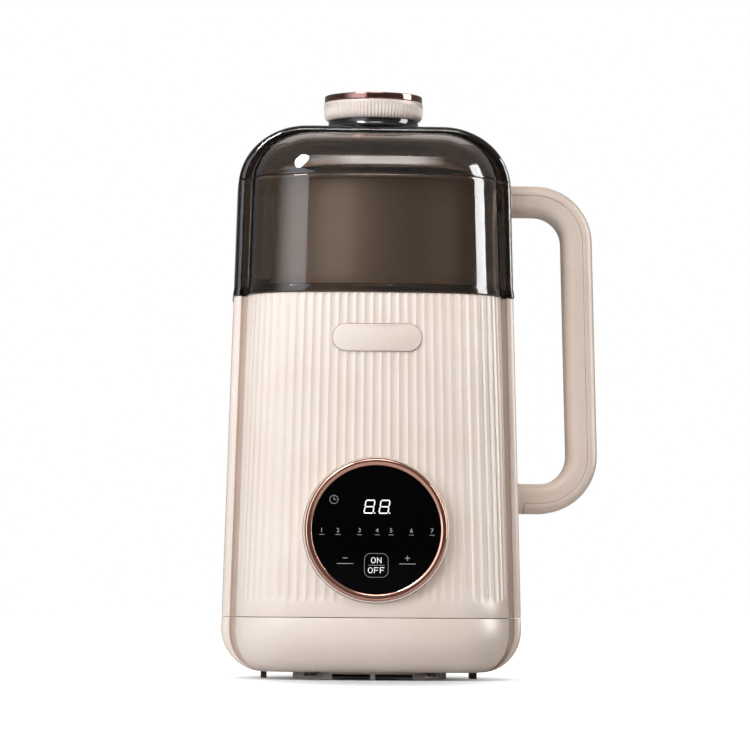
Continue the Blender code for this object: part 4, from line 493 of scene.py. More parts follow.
def to_verts(bm, known, rows):
    """Rows of points as rows of vertices, one for each place, shared by all that meet there."""
    result = []
    for row in rows:
        result.append([])
        for place in row:
            key = tuple(round(value, 7) for value in place)
            if key not in known:
                known[key] = bm.verts.new(place)
            result[-1].append(known[key])
    return result


def side_faces(bm, rows, closed):
    """Quads between rows of vertices that follow each other."""
    count = len(rows[0])
    for low, high in zip(rows, rows[1:]):
        for i in range(count if closed else count - 1):
            j = (i + 1) % count
            add_face(bm, (low[i], low[j], high[j], high[i]))


def wall_sides(outer_rows, inner_rows, closed):
    """Outside and inside of a wall, still apart: the mesh and both sets of rows."""
    bm, known = bmesh.new(), {}
    outer, inner = to_verts(bm, known, outer_rows), to_verts(bm, known, inner_rows)
    side_faces(bm, outer, closed)
    side_faces(bm, inner, closed)
    return bm, outer, inner


def closed_wall(outer_rows, inner_rows):
    """A wall all the way round, open at the top and at the bottom."""
    bm, outer, inner = wall_sides(outer_rows, inner_rows, True)
    side_faces(bm, [outer[0], inner[0]], True)
    side_faces(bm, [outer[-1], inner[-1]], True)
    return bm


def open_wall(outer_rows, inner_rows):
    """A wall that is open at its two ends; outside and inside have their own rows."""
    bm, outer, inner = wall_sides(outer_rows, inner_rows, False)
    for end in (0, -1):
        add_face(bm, outer[end] + inner[end][::-1])
    for end in (0, -1):
        add_face(bm, [row[end] for row in outer] + [row[end] for row in inner[::-1]])
    return bm


def tub_wall(outer_rows, inner_rows):
    """A wall with a floor, joined at the top."""
    bm, outer, inner = wall_sides(outer_rows, inner_rows, True)
    side_faces(bm, [outer[-1], inner[-1]], True)
    add_face(bm, outer[0])
    add_face(bm, inner[0])
    return bm


def solid_loft(loops):
    """A solid through closed loops of equal length, flat at both ends."""
    bm = bmesh.new()
    rows = to_verts(bm, {}, loops)
    side_faces(bm, rows, True)
    add_face(bm, rows[0][::-1])
    add_face(bm, rows[-1])
    return bm


def turned(profile, steps=96):
    """Solid of revolution about Z; the profile is a closed loop of (radius, z)."""
    bm = bmesh.new()
    rings = to_verts(bm, {}, [[(*polar(r, a), z) for r, z in profile] for a in full_turn(steps)])
    for here, there in zip(rings, rings[1:] + rings[:1]):
        for i in range(len(profile)):
            j = (i + 1) % len(profile)
            add_face(bm, (here[i], there[i], there[j], here[j]))
    return bm


def block(low, high):
    """A box between two corners."""
    bm = bmesh.new()
    low, high = Vector(low), Vector(high)
    bmesh.ops.create_cube(bm, size=1.0)
    bmesh.ops.scale(bm, vec=high - low, verts=bm.verts)
    bmesh.ops.translate(bm, vec=(high + low) / 2, verts=bm.verts)
    return bm


def rod(start, end, radius, steps=32):
    """A round rod between two points."""
    bm = bmesh.new()
    start, end = Vector(start), Vector(end)
    turn = Vector((0, 0, 1)).rotation_difference(end - start).to_matrix().to_4x4()
    bmesh.ops.create_cone(bm, cap_ends=True, segments=steps, radius1=radius, radius2=radius,
                          depth=(end - start).length,
                          matrix=Matrix.Translation((start + end) / 2) @ turn)
    return bm


def joined(parts):
    """Several meshes in one, still as separate closed shells."""
    bm = parts[0]
    for other in parts[1:]:
        carrier = bpy.data.meshes.new("carrier")
        other.to_mesh(carrier)
        other.free()
        bm.from_mesh(carrier)
        bpy.data.meshes.remove(carrier)
    return bm


def rounded(corners, radius, steps=4):
    """A closed loop of (radius, z) corners with each marked corner rounded off."""
    points = []
    for index, (x, z, turn) in enumerate(corners):
        here = Vector((x, z))
        if not turn:
            points.append((x, z))
            continue
        before = (Vector(corners[index - 1][:2]) - here).normalized()
        after = (Vector(corners[(index + 1) % len(corners)][:2]) - here).normalized()
        reach = radius * turn
        for i in range(steps + 1):
            t = i / steps
            spot = (here + before * reach) * (1 - t) ** 2 + here * 2 * t * (1 - t)
            spot += (here + after * reach) * t * t
            points.append((spot.x, spot.y))
    return points


# %% [markdown]
# A finished piece sits at the origin with its place in its mesh, as a CAD node
# does, and it is named after the node that it replaces. Cutting could be left as
# live modifiers, but here each piece is baked to a plain mesh at once.

# %% Piece helpers
SOFT_STEPS, SOFT_ANGLE = 2, math.radians(50.0)


def new_object(name, bm):
    """A mesh object in axis coordinates, with its faces turned outwards."""
    bmesh.ops.recalc_face_normals(bm, faces=bm.faces)
    mesh = bpy.data.meshes.new(name)
    bm.to_mesh(mesh)
    bm.free()
    return put_in_scene(name, mesh)


def bake(item):
    """Turn the result of an object's modifiers into its plain mesh."""
    graph = bpy.context.evaluated_depsgraph_get()
    graph.update()
    mesh = bpy.data.meshes.new_from_object(item.evaluated_get(graph))
    item.modifiers.clear()
    old, item.data = item.data, mesh
    bpy.data.meshes.remove(old)
    mesh.name = item.name


def shape_with(item, bm, operation="DIFFERENCE"):
    """Cut or join an object with a mesh, and bake the result."""
    helper = new_object("helper", bm)
    step = item.modifiers.new("shape", "BOOLEAN")
    step.object, step.operation, step.solver = helper, operation, "EXACT"
    bake(item)
    bpy.data.objects.remove(helper)


def soften(item, width=0.0003):
    """Round off the sharp edges of a moulding, and bake the result."""
    step = item.modifiers.new("soft_edges", "BEVEL")
    step.width, step.segments = width, SOFT_STEPS
    step.limit_method, step.angle_limit = "ANGLE", SOFT_ANGLE
    step.use_clamp_overlap = True
    bake(item)


def hand_over(item, body, material, sharp=40.0):
    """Move a piece to its place, dress it and let it stand for the CAD node of its name."""
    item.data.transform(Matrix.Translation(AXIS))
    item.data.shade_smooth()
    item.data.set_sharp_from_angle(angle=math.radians(sharp))
    item.data.materials.clear()
    item.data.materials.append(material)
    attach(item, body)
    node = item.name.removesuffix("_dressed")
    if node != item.name:
        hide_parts(node)
    print(f"{item.name}: {len(item.data.polygons)} faces, rides on {body}")


def dress(node, bm, body, material, sharp=40.0):
    """Build the piece of a CAD node that needs no cutting, and hand it over."""
    hand_over(new_object(node + "_dressed", bm), body, material, sharp)


print("each piece is moved to the axis at", [round(v, 4) for v in AXIS])

# %% [markdown]
# Three effects are shared by many of the finishes, so each is a node group with
# named inputs: the fine grain and faint mottle of moulded plastic, the smudges
# that hands leave on gloss, and the rings that turning or brushing leaves on
# metal. A group gives out only values that vary over the surface; the shader
# with its plain numbers stays in the material.

# %% Shared effects
def start_group(name, kind, inputs, outputs):
    """A node group with its named sockets; each input has a kind and a value."""
    tree = bpy.data.node_groups.new(name, kind)
    for title, (socket_kind, value) in inputs.items():
        socket = tree.interface.new_socket(title, in_out="INPUT",
                                           socket_type="NodeSocket" + socket_kind)
        if value is not None:
            socket.default_value = value
    for title, socket_kind in outputs.items():
        tree.interface.new_socket(title, in_out="OUTPUT", socket_type="NodeSocket" + socket_kind)
    return tree, tree.nodes.new("NodeGroupInput").outputs, tree.nodes.new("NodeGroupOutput")


def start_effect(name, outputs, numbers):
    """A shader group that reads a place and named numbers, and gives out values."""
    inputs = {"Place": ("Vector", None)}
    inputs.update({title: ("Float", value) for title, value in numbers.items()})
    return start_group(name, "ShaderNodeTree", inputs, dict.fromkeys(outputs, "Float"))


def make_moulding_group():
    """Spark-eroded grain, slow orange peel and mottle of moulded plastic."""
    group, given, result = start_effect("moulded_skin", ("Height", "Mottle", "Grain"), {
        "Grain Scale": 2600.0, "Peel Scale": 130.0, "Peel Share": 0.5})
    place = given["Place"]
    grain = noise(group, place, given["Grain Scale"], 3.0, 0.6)
    peel = noise(group, place, given["Peel Scale"], 1.0)
    mottle = noise(group, place, 34.0, 4.0, 0.6)
    return feed(group, result, Grain=grain, Mottle=ramp(group, mottle, 0.3, 0.7),
                Height=maths(group, "MULTIPLY_ADD", peel, given["Peel Share"], grain))


def make_handling_group():
    """Faint wiped smudges and fine dust on glossy surfaces."""
    group, given, result = start_effect("handling_marks", ("Smudge", "Dust", "Height"), {
        "Smudge Scale": 26.0, "Dust Scale": 900.0})
    place = given["Place"]
    smudge = noise(group, place, given["Smudge Scale"], 5.0, 0.62)
    dust = noise(group, place, given["Dust Scale"], 1.0)
    return feed(group, result, Smudge=ramp(group, smudge, 0.42, 0.72),
                Dust=ramp(group, dust, 0.70, 0.80), Height=noise(group, place, 60.0, 1.0))


def make_turning_group():
    """Rings left by turning or by a brush held against a spinning part."""
    group, given, result = start_effect("turned_rings", ("Height", "Tone"), {
        "Ring Scale": 5200.0, "Blur": 9.0})
    x, y, z = split_xyz(group, given["Place"])
    across = maths(group, "MULTIPLY_ADD", y, y, maths(group, "MULTIPLY", x, x))
    angle = maths(group, "ARCTAN2", y, x)
    wave = maths(group, "SINE", maths(group, "MULTIPLY", angle, 2.0))
    drift = maths(group, "MULTIPLY", wave, 0.0012)
    spot = add_node(group, "ShaderNodeCombineXYZ", (
        maths(group, "ADD", maths(group, "SQRT", across), drift),
        maths(group, "ADD", z, drift))).outputs[0]
    fine = noise(group, spot, given["Ring Scale"], 2.0, 0.6)
    broad = noise(group, spot, 700.0, 3.0, 0.7)
    cloud = noise(group, given["Place"], given["Blur"], 3.0)
    tone = maths(group, "MULTIPLY_ADD", broad, 0.6, maths(group, "MULTIPLY", cloud, 0.4))
    return feed(group, result, Height=fine, Tone=ramp(group, tone, 0.35, 0.65))


MOULDED_SKIN = make_moulding_group()
HANDLING_MARKS = make_handling_group()
TURNED_RINGS = make_turning_group()
print("shared effects:", MOULDED_SKIN.name, HANDLING_MARKS.name, TURNED_RINGS.name)

# %% [markdown]
# Each finish takes its colour and gloss from the photograph: warm cream plastic
# with a satin skin, smoked clear plastic that is nearly black where it is seen
# edge on, rose gold plating, black glass, brushed steel. Every one has its own
# small variation in colour, roughness and relief.

# %% Finish helpers
def use_group(tree, group, place, **numbers):
    """What a shared effect puts out, placed in a material with its own values."""
    inputs = {title.replace("_", " "): value for title, value in numbers.items()}
    return add_node(tree, "ShaderNodeGroup", {"Place": place, **inputs}, node_tree=group).outputs


def vary(finish, height, depth, mask, tones, shine):
    """Let the masks of a shared effect vary a finish's colour, gloss and relief."""
    material, tree, shader = finish
    bump = add_node(tree, "ShaderNodeBump", {"Distance": depth, "Strength": 1.0, "Height": height})
    feed(tree, shader, Base_Color=blend_colours(tree, mask, *tones),
         Roughness=ramp(tree, *shine), Normal=bump.outputs["Normal"])
    return material


def moulded_finish(name, colour, shade, rough, spread, depth, grain=2600.0, **sockets):
    """Moulded plastic: two tones, grain, orange peel and uneven gloss."""
    finish = start_finish(name, colour, rough, **sockets)
    skin = use_group(finish[1], MOULDED_SKIN, place_of(finish[1]), Grain_Scale=grain)
    return vary(finish, skin["Height"], depth, skin["Mottle"], (colour, shade),
                (skin["Grain"], 0.3, 0.7, rough - spread, rough + spread))


def glossy_finish(name, colour, dusty, rough, metallic=0.0, **sockets):
    """Polished surface with smudges and a little dust."""
    finish = start_finish(name, colour, rough, metallic, **sockets)
    marks = use_group(finish[1], HANDLING_MARKS, place_of(finish[1]))
    return vary(finish, marks["Height"], 0.00002, marks["Dust"], (colour, dusty),
                (marks["Smudge"], 0.0, 1.0, rough, rough + 0.09))


def metal_finish(name, colour, shade, rough, depth=0.00001, rings=5200.0, metallic=1.0):
    """Turned or brushed metal with rings round the machine's axis."""
    finish = start_finish(name, colour, rough, metallic)
    lines = use_group(finish[1], TURNED_RINGS, place_of(finish[1], True), Ring_Scale=rings)
    return vary(finish, lines["Height"], depth, lines["Tone"], (colour, shade),
                (lines["Height"], 0.3, 0.7, rough - 0.05, rough + 0.07))


# %% Finishes of the machine
CREAM, CREAM_WARM = (0.770, 0.658, 0.578), (0.742, 0.622, 0.538)
cream = moulded_finish("cream_plastic", CREAM, CREAM_WARM, 0.40, 0.05, 0.000012,
                       Specular_IOR_Level=0.55)
cream_handle = moulded_finish("handle_plastic", (0.725, 0.598, 0.504), (0.690, 0.562, 0.468),
                              0.44, 0.06, 0.000016, Specular_IOR_Level=0.45)
smoked = glossy_finish("smoked_plastic", (0.900, 0.880, 0.860), (0.820, 0.800, 0.780), 0.02,
                       Transmission_Weight=1.0, IOR=1.57)
smoke = add_node(smoked.node_tree, "ShaderNodeVolumeAbsorption",
                 {"Color": (0.275, 0.135, 0.015, 1.0), "Density": 400.0})
feed(smoked.node_tree, smoked.node_tree.nodes["Material Output"], Volume=smoke.outputs[0])
rose_gold = glossy_finish("rose_gold_plating", (0.620, 0.330, 0.255), (0.640, 0.380, 0.310),
                          0.09, 1.0)
# The knob ring's plating is the rose gold darkened to well under half: painted shade for the dark
# room that the ring mirrors.
shaded_ring_plating = glossy_finish("knob_ring_plating", (0.280, 0.150, 0.130), (0.320, 0.190, 0.165),
                             0.07, 1.0)
gloss_black = glossy_finish("gloss_black_plastic", (0.012, 0.012, 0.013), (0.030, 0.030, 0.031),
                            0.08)
panel_black = glossy_finish("panel_glass", (0.0012, 0.0012, 0.0014), (0.004, 0.004, 0.005), 0.04,
                            Specular_IOR_Level=0.03)
inner_black = moulded_finish("inner_black_plastic", (0.022, 0.020, 0.019), (0.030, 0.027, 0.025),
                             0.36, 0.07, 0.00002)
dark_plastic = moulded_finish("fan_plastic", (0.035, 0.034, 0.034), (0.050, 0.048, 0.047),
                              0.5, 0.08, 0.00002)
inlet_black = moulded_finish("inlet_plastic", (0.028, 0.028, 0.029), (0.040, 0.040, 0.041),
                             0.48, 0.08, 0.00003, 1600.0)
rubber = moulded_finish("foot_rubber", (0.070, 0.040, 0.028), (0.095, 0.056, 0.040), 0.70, 0.08,
                        0.00004, 1400.0)
seal_black = moulded_finish("seal_silicone", (0.018, 0.016, 0.015), (0.030, 0.026, 0.024), 0.24,
                            0.06, 0.00001)
cup_steel = metal_finish("cup_steel", (0.860, 0.835, 0.800), (0.810, 0.785, 0.750), 0.42,
                         metallic=0.45)
lid_satin = moulded_finish("inner_lid_satin", (0.800, 0.715, 0.640), (0.760, 0.675, 0.600), 0.46,
                           0.06, 0.00002)
bright_steel = metal_finish("bright_steel", (0.700, 0.690, 0.670), (0.600, 0.590, 0.570), 0.20)
blade_steel = metal_finish("blade_steel", (0.720, 0.715, 0.700), (0.600, 0.595, 0.580), 0.18,
                           0.000008, 3000.0)
# Parts of the plated steel slot, the screws under the base among them, are coloured near black.
plated_steel = metal_finish("black_zinc", (0.105, 0.100, 0.098), (0.070, 0.066, 0.064), 0.36)
aluminium = metal_finish("cast_aluminium", (0.600, 0.605, 0.610), (0.500, 0.505, 0.510), 0.46,
                         0.00004, 900.0)
copper = metal_finish("winding_copper", (0.720, 0.330, 0.180), (0.560, 0.230, 0.120), 0.38,
                      0.00012, 1500.0)
brass = metal_finish("turned_brass", (0.720, 0.560, 0.270), (0.610, 0.460, 0.210), 0.28)
board_green = moulded_finish("board_lacquer", (0.020, 0.120, 0.050), (0.012, 0.085, 0.035), 0.34,
                             0.08, 0.00003, 1200.0)
print("finishes:", len(bpy.data.materials))

# %% [markdown]
# The rear shell is the plain half of the body. Its front edge stands proud of
# the fluted front and is rounded into a lip with a groove inside it. A lip could
# be bevelled onto a box, but drawing it in the plan keeps it even where the body
# leans, and the dome above continues the same rows.

# %% Rear shell
EDGE_STEPS = ((0.00030, 0.0), (0.00009, 0.00009), (0.0, 0.00030))
INLET_Z, INLET_HALF = 0.0560, Vector((0.0153, 0.0, 0.0128))
HANDLE_Y, ROOT_DEPTH, SCREW_HOLE = 0.0040, 0.0096, 0.0022
POST_X, POST_RADIUS = 0.032, 0.0030
LOW_HOLE_Z, TOP_HOLE_Z = BASE_SEAM_Z + 0.0660, LID_SPLIT_Z - 0.0078 - 0.0020


def seam_heights(low, high, middle=()):
    """Heights and insets of a wall whose two seam edges are rounded off."""
    rows = [(low + rise, inset) for inset, rise in EDGE_STEPS]
    rows += [(z, 0.0) for z in middle]
    return rows + [(high - rise, inset) for inset, rise in reversed(EDGE_STEPS)]


def rear_wall():
    """Outer and inner rows of the rear shell."""
    reach_in = WALL + 0.0020
    outer, inner = [], []
    low, high = BASE_SEAM_Z + FIT_GAP / 2, UPPER_SEAM_Z - FIT_GAP / 2
    for z, inset in seam_heights(low, high):
        front, rear = body_plan(z)
        lip = lip_row(z, -inset)
        lip[0] = Vector((front[0] - reach_in, groove_floor_y(z), z))
        outer.append(lip + rear_row(rear, inset, GROOVE_PLANE_Y + LIP_DEPTH, z) + mirror_row(lip))
    for z in (low, high):
        front, rear = body_plan(z)
        web_y = groove_floor_y(z) + WALL
        turn = [Vector((front[0] - reach_in, web_y, z))]
        inner.append(turn + rear_row(rear, WALL, web_y, z) + mirror_row(turn))
    return open_wall(outer, inner)


def wall_x(z):
    """Right side of the rear shell at a height."""
    return body_plan(z)[1][0]


def root_hole(z):
    """Hole through the wall and into a root of the handle, for its screw."""
    return rod((wall_x(z) - WALL - OVERRUN, HANDLE_Y, z), (wall_x(z) + ROOT_DEPTH, HANDLE_Y, z),
               SCREW_HOLE, 20)


inlet_back = body_plan(INLET_Z)[1][1] + 0.0012
rear_shell = new_object("rear_shell_dressed", rear_wall())
shape_with(rear_shell, block((-INLET_HALF.x, inlet_back - 0.0213, INLET_Z - INLET_HALF.z),
                             (INLET_HALF.x, inlet_back + 0.003, INLET_Z + INLET_HALF.z)))
board_low, board_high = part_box("power_board")
for x in (-POST_X, POST_X):
    for z in (board_low.z + 0.006, board_high.z - 0.006):
        wall_y = body_plan(z)[1][1] - WALL / 2 - REAR_BULGE + math.sqrt(REAR_BULGE ** 2 - x * x)
        post = rod((x, board_high.y - AXIS.y + FIT_GAP, z), (x, wall_y, z), POST_RADIUS)
        shape_with(rear_shell, post, "UNION")
shape_with(rear_shell, root_hole(LOW_HOLE_Z))
hand_over(rear_shell, "housing", cream, 35.0)

# %% [markdown]
# The front shell carries thirty-nine shallow flutes between two plain margins.
# They are hollows: the left light falls in the middle of each and the right one
# on its ridge. Cutting them with thirty-nine rods would leave ragged ends, so a
# Geometry Nodes tree sinks a plain wall along its stored outward direction by a
# rule: a parabola across each flute, its ridge slightly rounded, faded out above
# the foot. The number, depth, foot and fade are named inputs of the tree.

# %% Flute tree
def attribute_field(tree, name, kind):
    """A named attribute as a field."""
    return add_node(tree, "GeometryNodeInputNamedAttribute", {"Name": name},
                    data_type=kind).outputs["Attribute"]


def start_tree(name, numbers):
    """A Geometry Nodes tree with a mesh going in and out, and named numbers."""
    inputs = {"Geometry": ("Geometry", None), "Finish": ("Material", None), **numbers}
    return start_group(name, "GeometryNodeTree", inputs, {"Geometry": "Geometry"})


def sink_by(tree, given, result, depth):
    """Move points in, against their stored outward direction, and close the tree."""
    outward = attribute_field(tree, "outward", "FLOAT_VECTOR")
    push = add_node(tree, "ShaderNodeVectorMath",
                    {0: outward, "Scale": maths(tree, "MULTIPLY", depth, -1.0)}, operation="SCALE")
    move = add_node(tree, "GeometryNodeSetPosition",
                    {"Geometry": given["Geometry"], "Offset": push.outputs["Vector"]})
    solid = add_node(tree, "GeometryNodeRealizeInstances", (move.outputs["Geometry"],))
    coat = add_node(tree, "GeometryNodeSetMaterial",
                    {"Geometry": solid.outputs["Geometry"], "Material": given["Finish"]})
    return feed(tree, result, Geometry=coat.outputs["Geometry"])


def make_flute_tree():
    """Sinks flutes into a wall by its 'across' and 'rise' attributes."""
    tree, given, result = start_tree("sink_flutes", {
        "Flutes": ("Int", 39), "Depth": ("Float", 0.0006), "Ridge": ("Float", 0.06),
        "Foot": ("Float", 0.0070), "Fade": ("Float", 0.0045)})
    across = attribute_field(tree, "across", "FLOAT")
    t = maths(tree, "FRACT", maths(tree, "MULTIPLY", across, given["Flutes"]))
    bowl = maths(tree, "MULTIPLY", maths(tree, "MULTIPLY", t, 4.0),
                 maths(tree, "SUBTRACT", 1.0, t))
    blunt = maths(tree, "SMOOTH_MAX", bowl, given["Ridge"], 0.12)
    inside = maths(tree, "MULTIPLY", maths(tree, "GREATER_THAN", across, 0.0),
                   maths(tree, "LESS_THAN", across, 1.0))
    top = maths(tree, "ADD", given["Foot"], given["Fade"])
    fade = ramp(tree, attribute_field(tree, "rise", "FLOAT"), given["Foot"], top)
    depth = maths(tree, "MULTIPLY", maths(tree, "SUBTRACT", blunt, 0.06), given["Depth"])
    depth = maths(tree, "MULTIPLY", maths(tree, "MULTIPLY", depth, fade), inside)
    return sink_by(tree, given, result, depth)


def run_tree(item, tree, **numbers):
    """Put a tree on an object with its inputs set by identifier, and bake it."""
    step = item.modifiers.new(tree.name, "NODES")
    step.node_group = tree
    for socket in tree.interface.items_tree:
        if socket.in_out == "INPUT" and socket.name in numbers:
            step[socket.identifier] = numbers[socket.name]
    bake(item)


FLUTE_TREE = make_flute_tree()
print("flute tree:", len(FLUTE_TREE.nodes), "nodes")

# %% Front shell
FLUTES, FLUTE_MARGIN, FLUTE_STEPS, FLUTE_DEPTH = 39, 0.0050, 12, 0.00062
FRONT_LOW, FRONT_HIGH = BASE_SEAM_Z + FIT_GAP / 2, UPPER_SEAM_Z - FIT_GAP / 2
front_stop = groove_floor_y(UPPER_SEAM_Z) - FIT_GAP


def note_key(point):
    """A point rounded to a micrometre, as the name of its notes."""
    return tuple(round(v, 6) for v in point)


def flute_shares():
    """Shares across the front with their place over the fluted field, 0 to 1."""
    face, turn, side, _ = end_lengths(body_plan(UPPER_SEAM_Z)[0], FRONT_BULGE, -front_stop)
    edge = 1.0 - FLUTE_MARGIN / (face + turn + side)
    count = FLUTES * FLUTE_STEPS
    pairs = [(-1.0, -1.0), (-0.9997, -1.0), (-(1.0 + edge) / 2, -1.0)]
    pairs += [(edge * (2.0 * i / count - 1.0), i / count) for i in range(count + 1)]
    return pairs + [((1.0 + edge) / 2, -1.0), (0.9997, -1.0), (1.0, -1.0)]


def front_wall():
    """Plain wall of the front shell, and what the flute tree reads at each point."""
    pairs = flute_shares()
    rises = [0.0070 + 0.0045 * i / 8 for i in range(9)]
    rows = seam_heights(FRONT_LOW, FRONT_HIGH, [FRONT_LOW + r for r in rises] + [0.100, 0.150])
    outer, notes = [], {}
    for z, inset in rows:
        row = []
        for share, across in pairs:
            size = inset_size(body_plan(z)[0], inset)
            place, normal = end_point(size, FRONT_BULGE, -front_stop, share)
            row.append(Vector((place[0], -place[1], z)))
            notes[note_key(row[-1])] = (across, z - FRONT_LOW, (normal[0], -normal[1], 0.0))
        outer.append(row)
    inner = [front_row(body_plan(z)[0], WALL, front_stop, z) for z in (FRONT_LOW, FRONT_HIGH)]
    return open_wall(outer, inner), notes


def store(item, title, values):
    """Store a number or a direction for each point of an object, for a tree to read."""
    number = isinstance(values[0], float)
    kind, entry = ("FLOAT", "value") if number else ("FLOAT_VECTOR", "vector")
    field = item.data.attributes.new(title, kind, "POINT")
    for index, value in enumerate(values):
        setattr(field.data[index], entry, value)


def note_points(item, notes):
    """Store across, rise and outward direction on an object's points."""
    found = [notes.get(note_key(v.co), (-1.0, 0.0, (0.0, 0.0, 0.0))) for v in item.data.vertices]
    for title, values in zip(("across", "rise", "outward"), zip(*found)):
        store(item, title, values)


wall, wall_notes = front_wall()
front_shell = new_object("front_shell_dressed", wall)
note_points(front_shell, wall_notes)
run_tree(front_shell, FLUTE_TREE, Finish=cream, Flutes=FLUTES, Depth=FLUTE_DEPTH)
print("fluted wall:", len(front_shell.data.vertices), "points")

# %% [markdown]
# The panel and the name plate are let into the flutes. Both follow the face: the
# panel is tilted with the draft of the mould and the plate bends with the bulge.

# %% Places on the front face
PANEL_Z, PANEL_RADIUS = BASE_SEAM_Z + 0.0456, 0.0379
PLATE_Z, PLATE_HALF = UPPER_SEAM_Z - 0.0238, (0.0233, 0.0071)


def face_y(x, z):
    """Front face of the body, near its middle, at a place."""
    return -(body_plan(z)[0][1] - FRONT_BULGE + math.sqrt(FRONT_BULGE ** 2 - x * x))


PANEL_PLACE = (Matrix.Translation((0, face_y(0.0, PANEL_Z), PANEL_Z))
               @ Matrix.Rotation(math.pi / 2 - math.atan(DRAFT), 4, "X"))


def plate_solid(grow, proud, sunk, edge=0.0):
    """Pill that follows the bulge of the face, between two depths."""
    radius = PLATE_HALF[1] + grow
    straight = PLATE_HALF[0] - PLATE_HALF[1]
    right = [(math.sin(a), math.cos(a)) for a in quarter(14)]
    stations = [(-straight, -s, c) for s, c in reversed(right)]
    stations += [(straight * step / 4, 0.0, 1.0) for step in range(-3, 4)]
    stations += [(straight, s, c) for s, c in right]
    rim = stations + [(x, s, -c) for x, s, c in reversed(stations)][1:-1]
    levels = [(radius, sunk), (radius, -proud + edge)]
    if edge:
        levels += [(radius - edge * 0.3, -proud + edge * 0.3), (radius - edge, -proud)]
    loops = []
    for reach, depth in levels:
        spots = [(x + s * reach, PLATE_Z + c * reach) for x, s, c in rim]
        loops.append([Vector((px, face_y(px, pz) + depth, pz)) for px, pz in spots])
    return solid_loft(loops)


def on_panel(bm):
    """Move a mesh drawn round the panel's own axis onto the face."""
    bmesh.ops.transform(bm, matrix=PANEL_PLACE, verts=bm.verts)
    return bm


opening = on_panel(turned([(0.0, -0.014), (PANEL_RADIUS + FIT_GAP, -0.014),
                           (PANEL_RADIUS + FIT_GAP, 0.006), (0.0, 0.006)], 128))
shape_with(front_shell, opening)
shape_with(front_shell, plate_solid(FIT_GAP, 0.0038, 0.0014))
hand_over(front_shell, "housing", cream, 42.0)
dress("name_plate", plate_solid(0.0, 0.0008, 0.0011, 0.0005), "housing", cream,
      50.0)

# %% [markdown]
# The base is a tray with a large rounding under it. The skirt ring below keeps
# the machine on the table and lets air in through a window on each side of a rib.

# %% Base shell
SKIRT_RADIUS, SKIRT_THICK, SKIRT_TOP = 0.0410, 0.0024, 0.0053
LEG_CIRCLE, LEG_HOLE = SKIRT_RADIUS + 0.0050, 0.0019
FOUR_CORNERS = [math.pi / 4 + math.pi / 2 * i for i in range(4)]


def base_tray():
    """Rounded tray with its floor."""
    seam = BASE_SEAM_Z - FIT_GAP / 2
    rise = BASE_ROUND_Z - STANCE_Z
    heights = [STANCE_Z + rise * (1.0 - math.cos(a)) for a in quarter(12)]
    outer = [outline(z) for z in heights]
    outer += [outline(seam - r, -i) for i, r in reversed(EDGE_STEPS)]
    floor = STANCE_Z + WALL
    inner = [lining(z) for z in [floor] + [h for h in heights if h > floor + 0.002] + [seam]]
    return tub_wall(outer, inner)


base_shell = new_object("base_shell_dressed", base_tray())
skirt = ring_corners(SKIRT_RADIUS - SKIRT_THICK, SKIRT_RADIUS, 0.0, SKIRT_TOP, (1, 1, 0, 0))
shape_with(base_shell, turned(rounded(skirt, 0.0004, 3), 96), "UNION")
for near, far in ((-0.0213, -0.0013), (0.0013, 0.0213)):
    shape_with(base_shell, block((near, -0.044, -0.003), (far, -0.020, 0.0030)))
shape_with(base_shell, joined([block((0.008 * k - 0.0015, -0.022, 0.003),
                                     (0.008 * k + 0.0015, 0.022, 0.0096)) for k in range(-3, 4)]))
legs = [polar(LEG_CIRCLE, a) for a in FOUR_CORNERS]
shape_with(base_shell, joined([rod((x, y, 0.003), (x, y, 0.0096), LEG_HOLE, 20) for x, y in legs]))
hand_over(base_shell, "housing", cream, 35.0)

# %% [markdown]
# The smoked dome is two mouldings: a fixed band and the cap that lifts off. Both
# are real walls, 2.6 mm thick, because the dark edges of clear smoked plastic
# come from looking along the wall. The band's rows continue the body's plan,
# with a bead round its foot.

# %% Smoked band
BEAD_HIGH, BEAD_PROUD, FOOT_WALL = 0.0034, 0.00045, 0.0050


def band_rows():
    """Rows of the band as (height, how far proud, wall inside): bead, wall and top edge."""
    low, high = UPPER_SEAM_Z + FIT_GAP / 2, LID_SPLIT_Z - 0.0002
    step = low + BEAD_HIGH
    bead = [(low, BEAD_PROUD - 0.0003), (low + 0.00009, BEAD_PROUD - 0.00009),
            (low + 0.0003, BEAD_PROUD), (step - 0.00025, BEAD_PROUD),
            (step - 0.00006, BEAD_PROUD - 0.00008), (step, BEAD_PROUD - 0.00025), (step, 0.0)]
    rows = [(z, proud, FOOT_WALL) for z, proud in bead]
    rows += [(low + 0.0042, 0.0, FOOT_WALL), (low + 0.0044, 0.0, WALL)]
    rows += [(low + (high - low) * s, 0.0, WALL) for s in (0.25, 0.5, 0.75)]
    return rows + [(SHOULDER_Z, 0.0, WALL), (SHOULDER_Z + 0.0015, 0.0, WALL),
                   (high - 0.0003, 0.0, WALL), (high - 0.00009, -0.00009, WALL),
                   (high, -0.0003, WALL)]


rows = band_rows()
upper_shell = new_object("upper_shell_dressed",
                         closed_wall([outline(z, proud) for z, proud, _ in rows],
                                     [lining(z, wall) for z, _, wall in rows]))
soften(upper_shell)
shape_with(upper_shell, root_hole(TOP_HOLE_Z))
hand_over(upper_shell, "housing", smoked, 35.0)

# %% [markdown]
# Over the cap the groove turns into an arch. Cutting it out of a solid dome
# leaves broken highlights, so the cap is one grid: its rows are counted by the
# angle over the shoulder, and at each angle the front, the groove, the lip and
# the rear each take their own height. The flat parts between the two ends of
# the last row close it.

# %% Smoked cap
CAP_STEPS, CAP_LOW = 26, LID_SPLIT_Z + 0.0002
FRONT_RISE = SHOULDER_RISE - ARCH_STEP_TOP
KNOB_HOLE = 0.0050


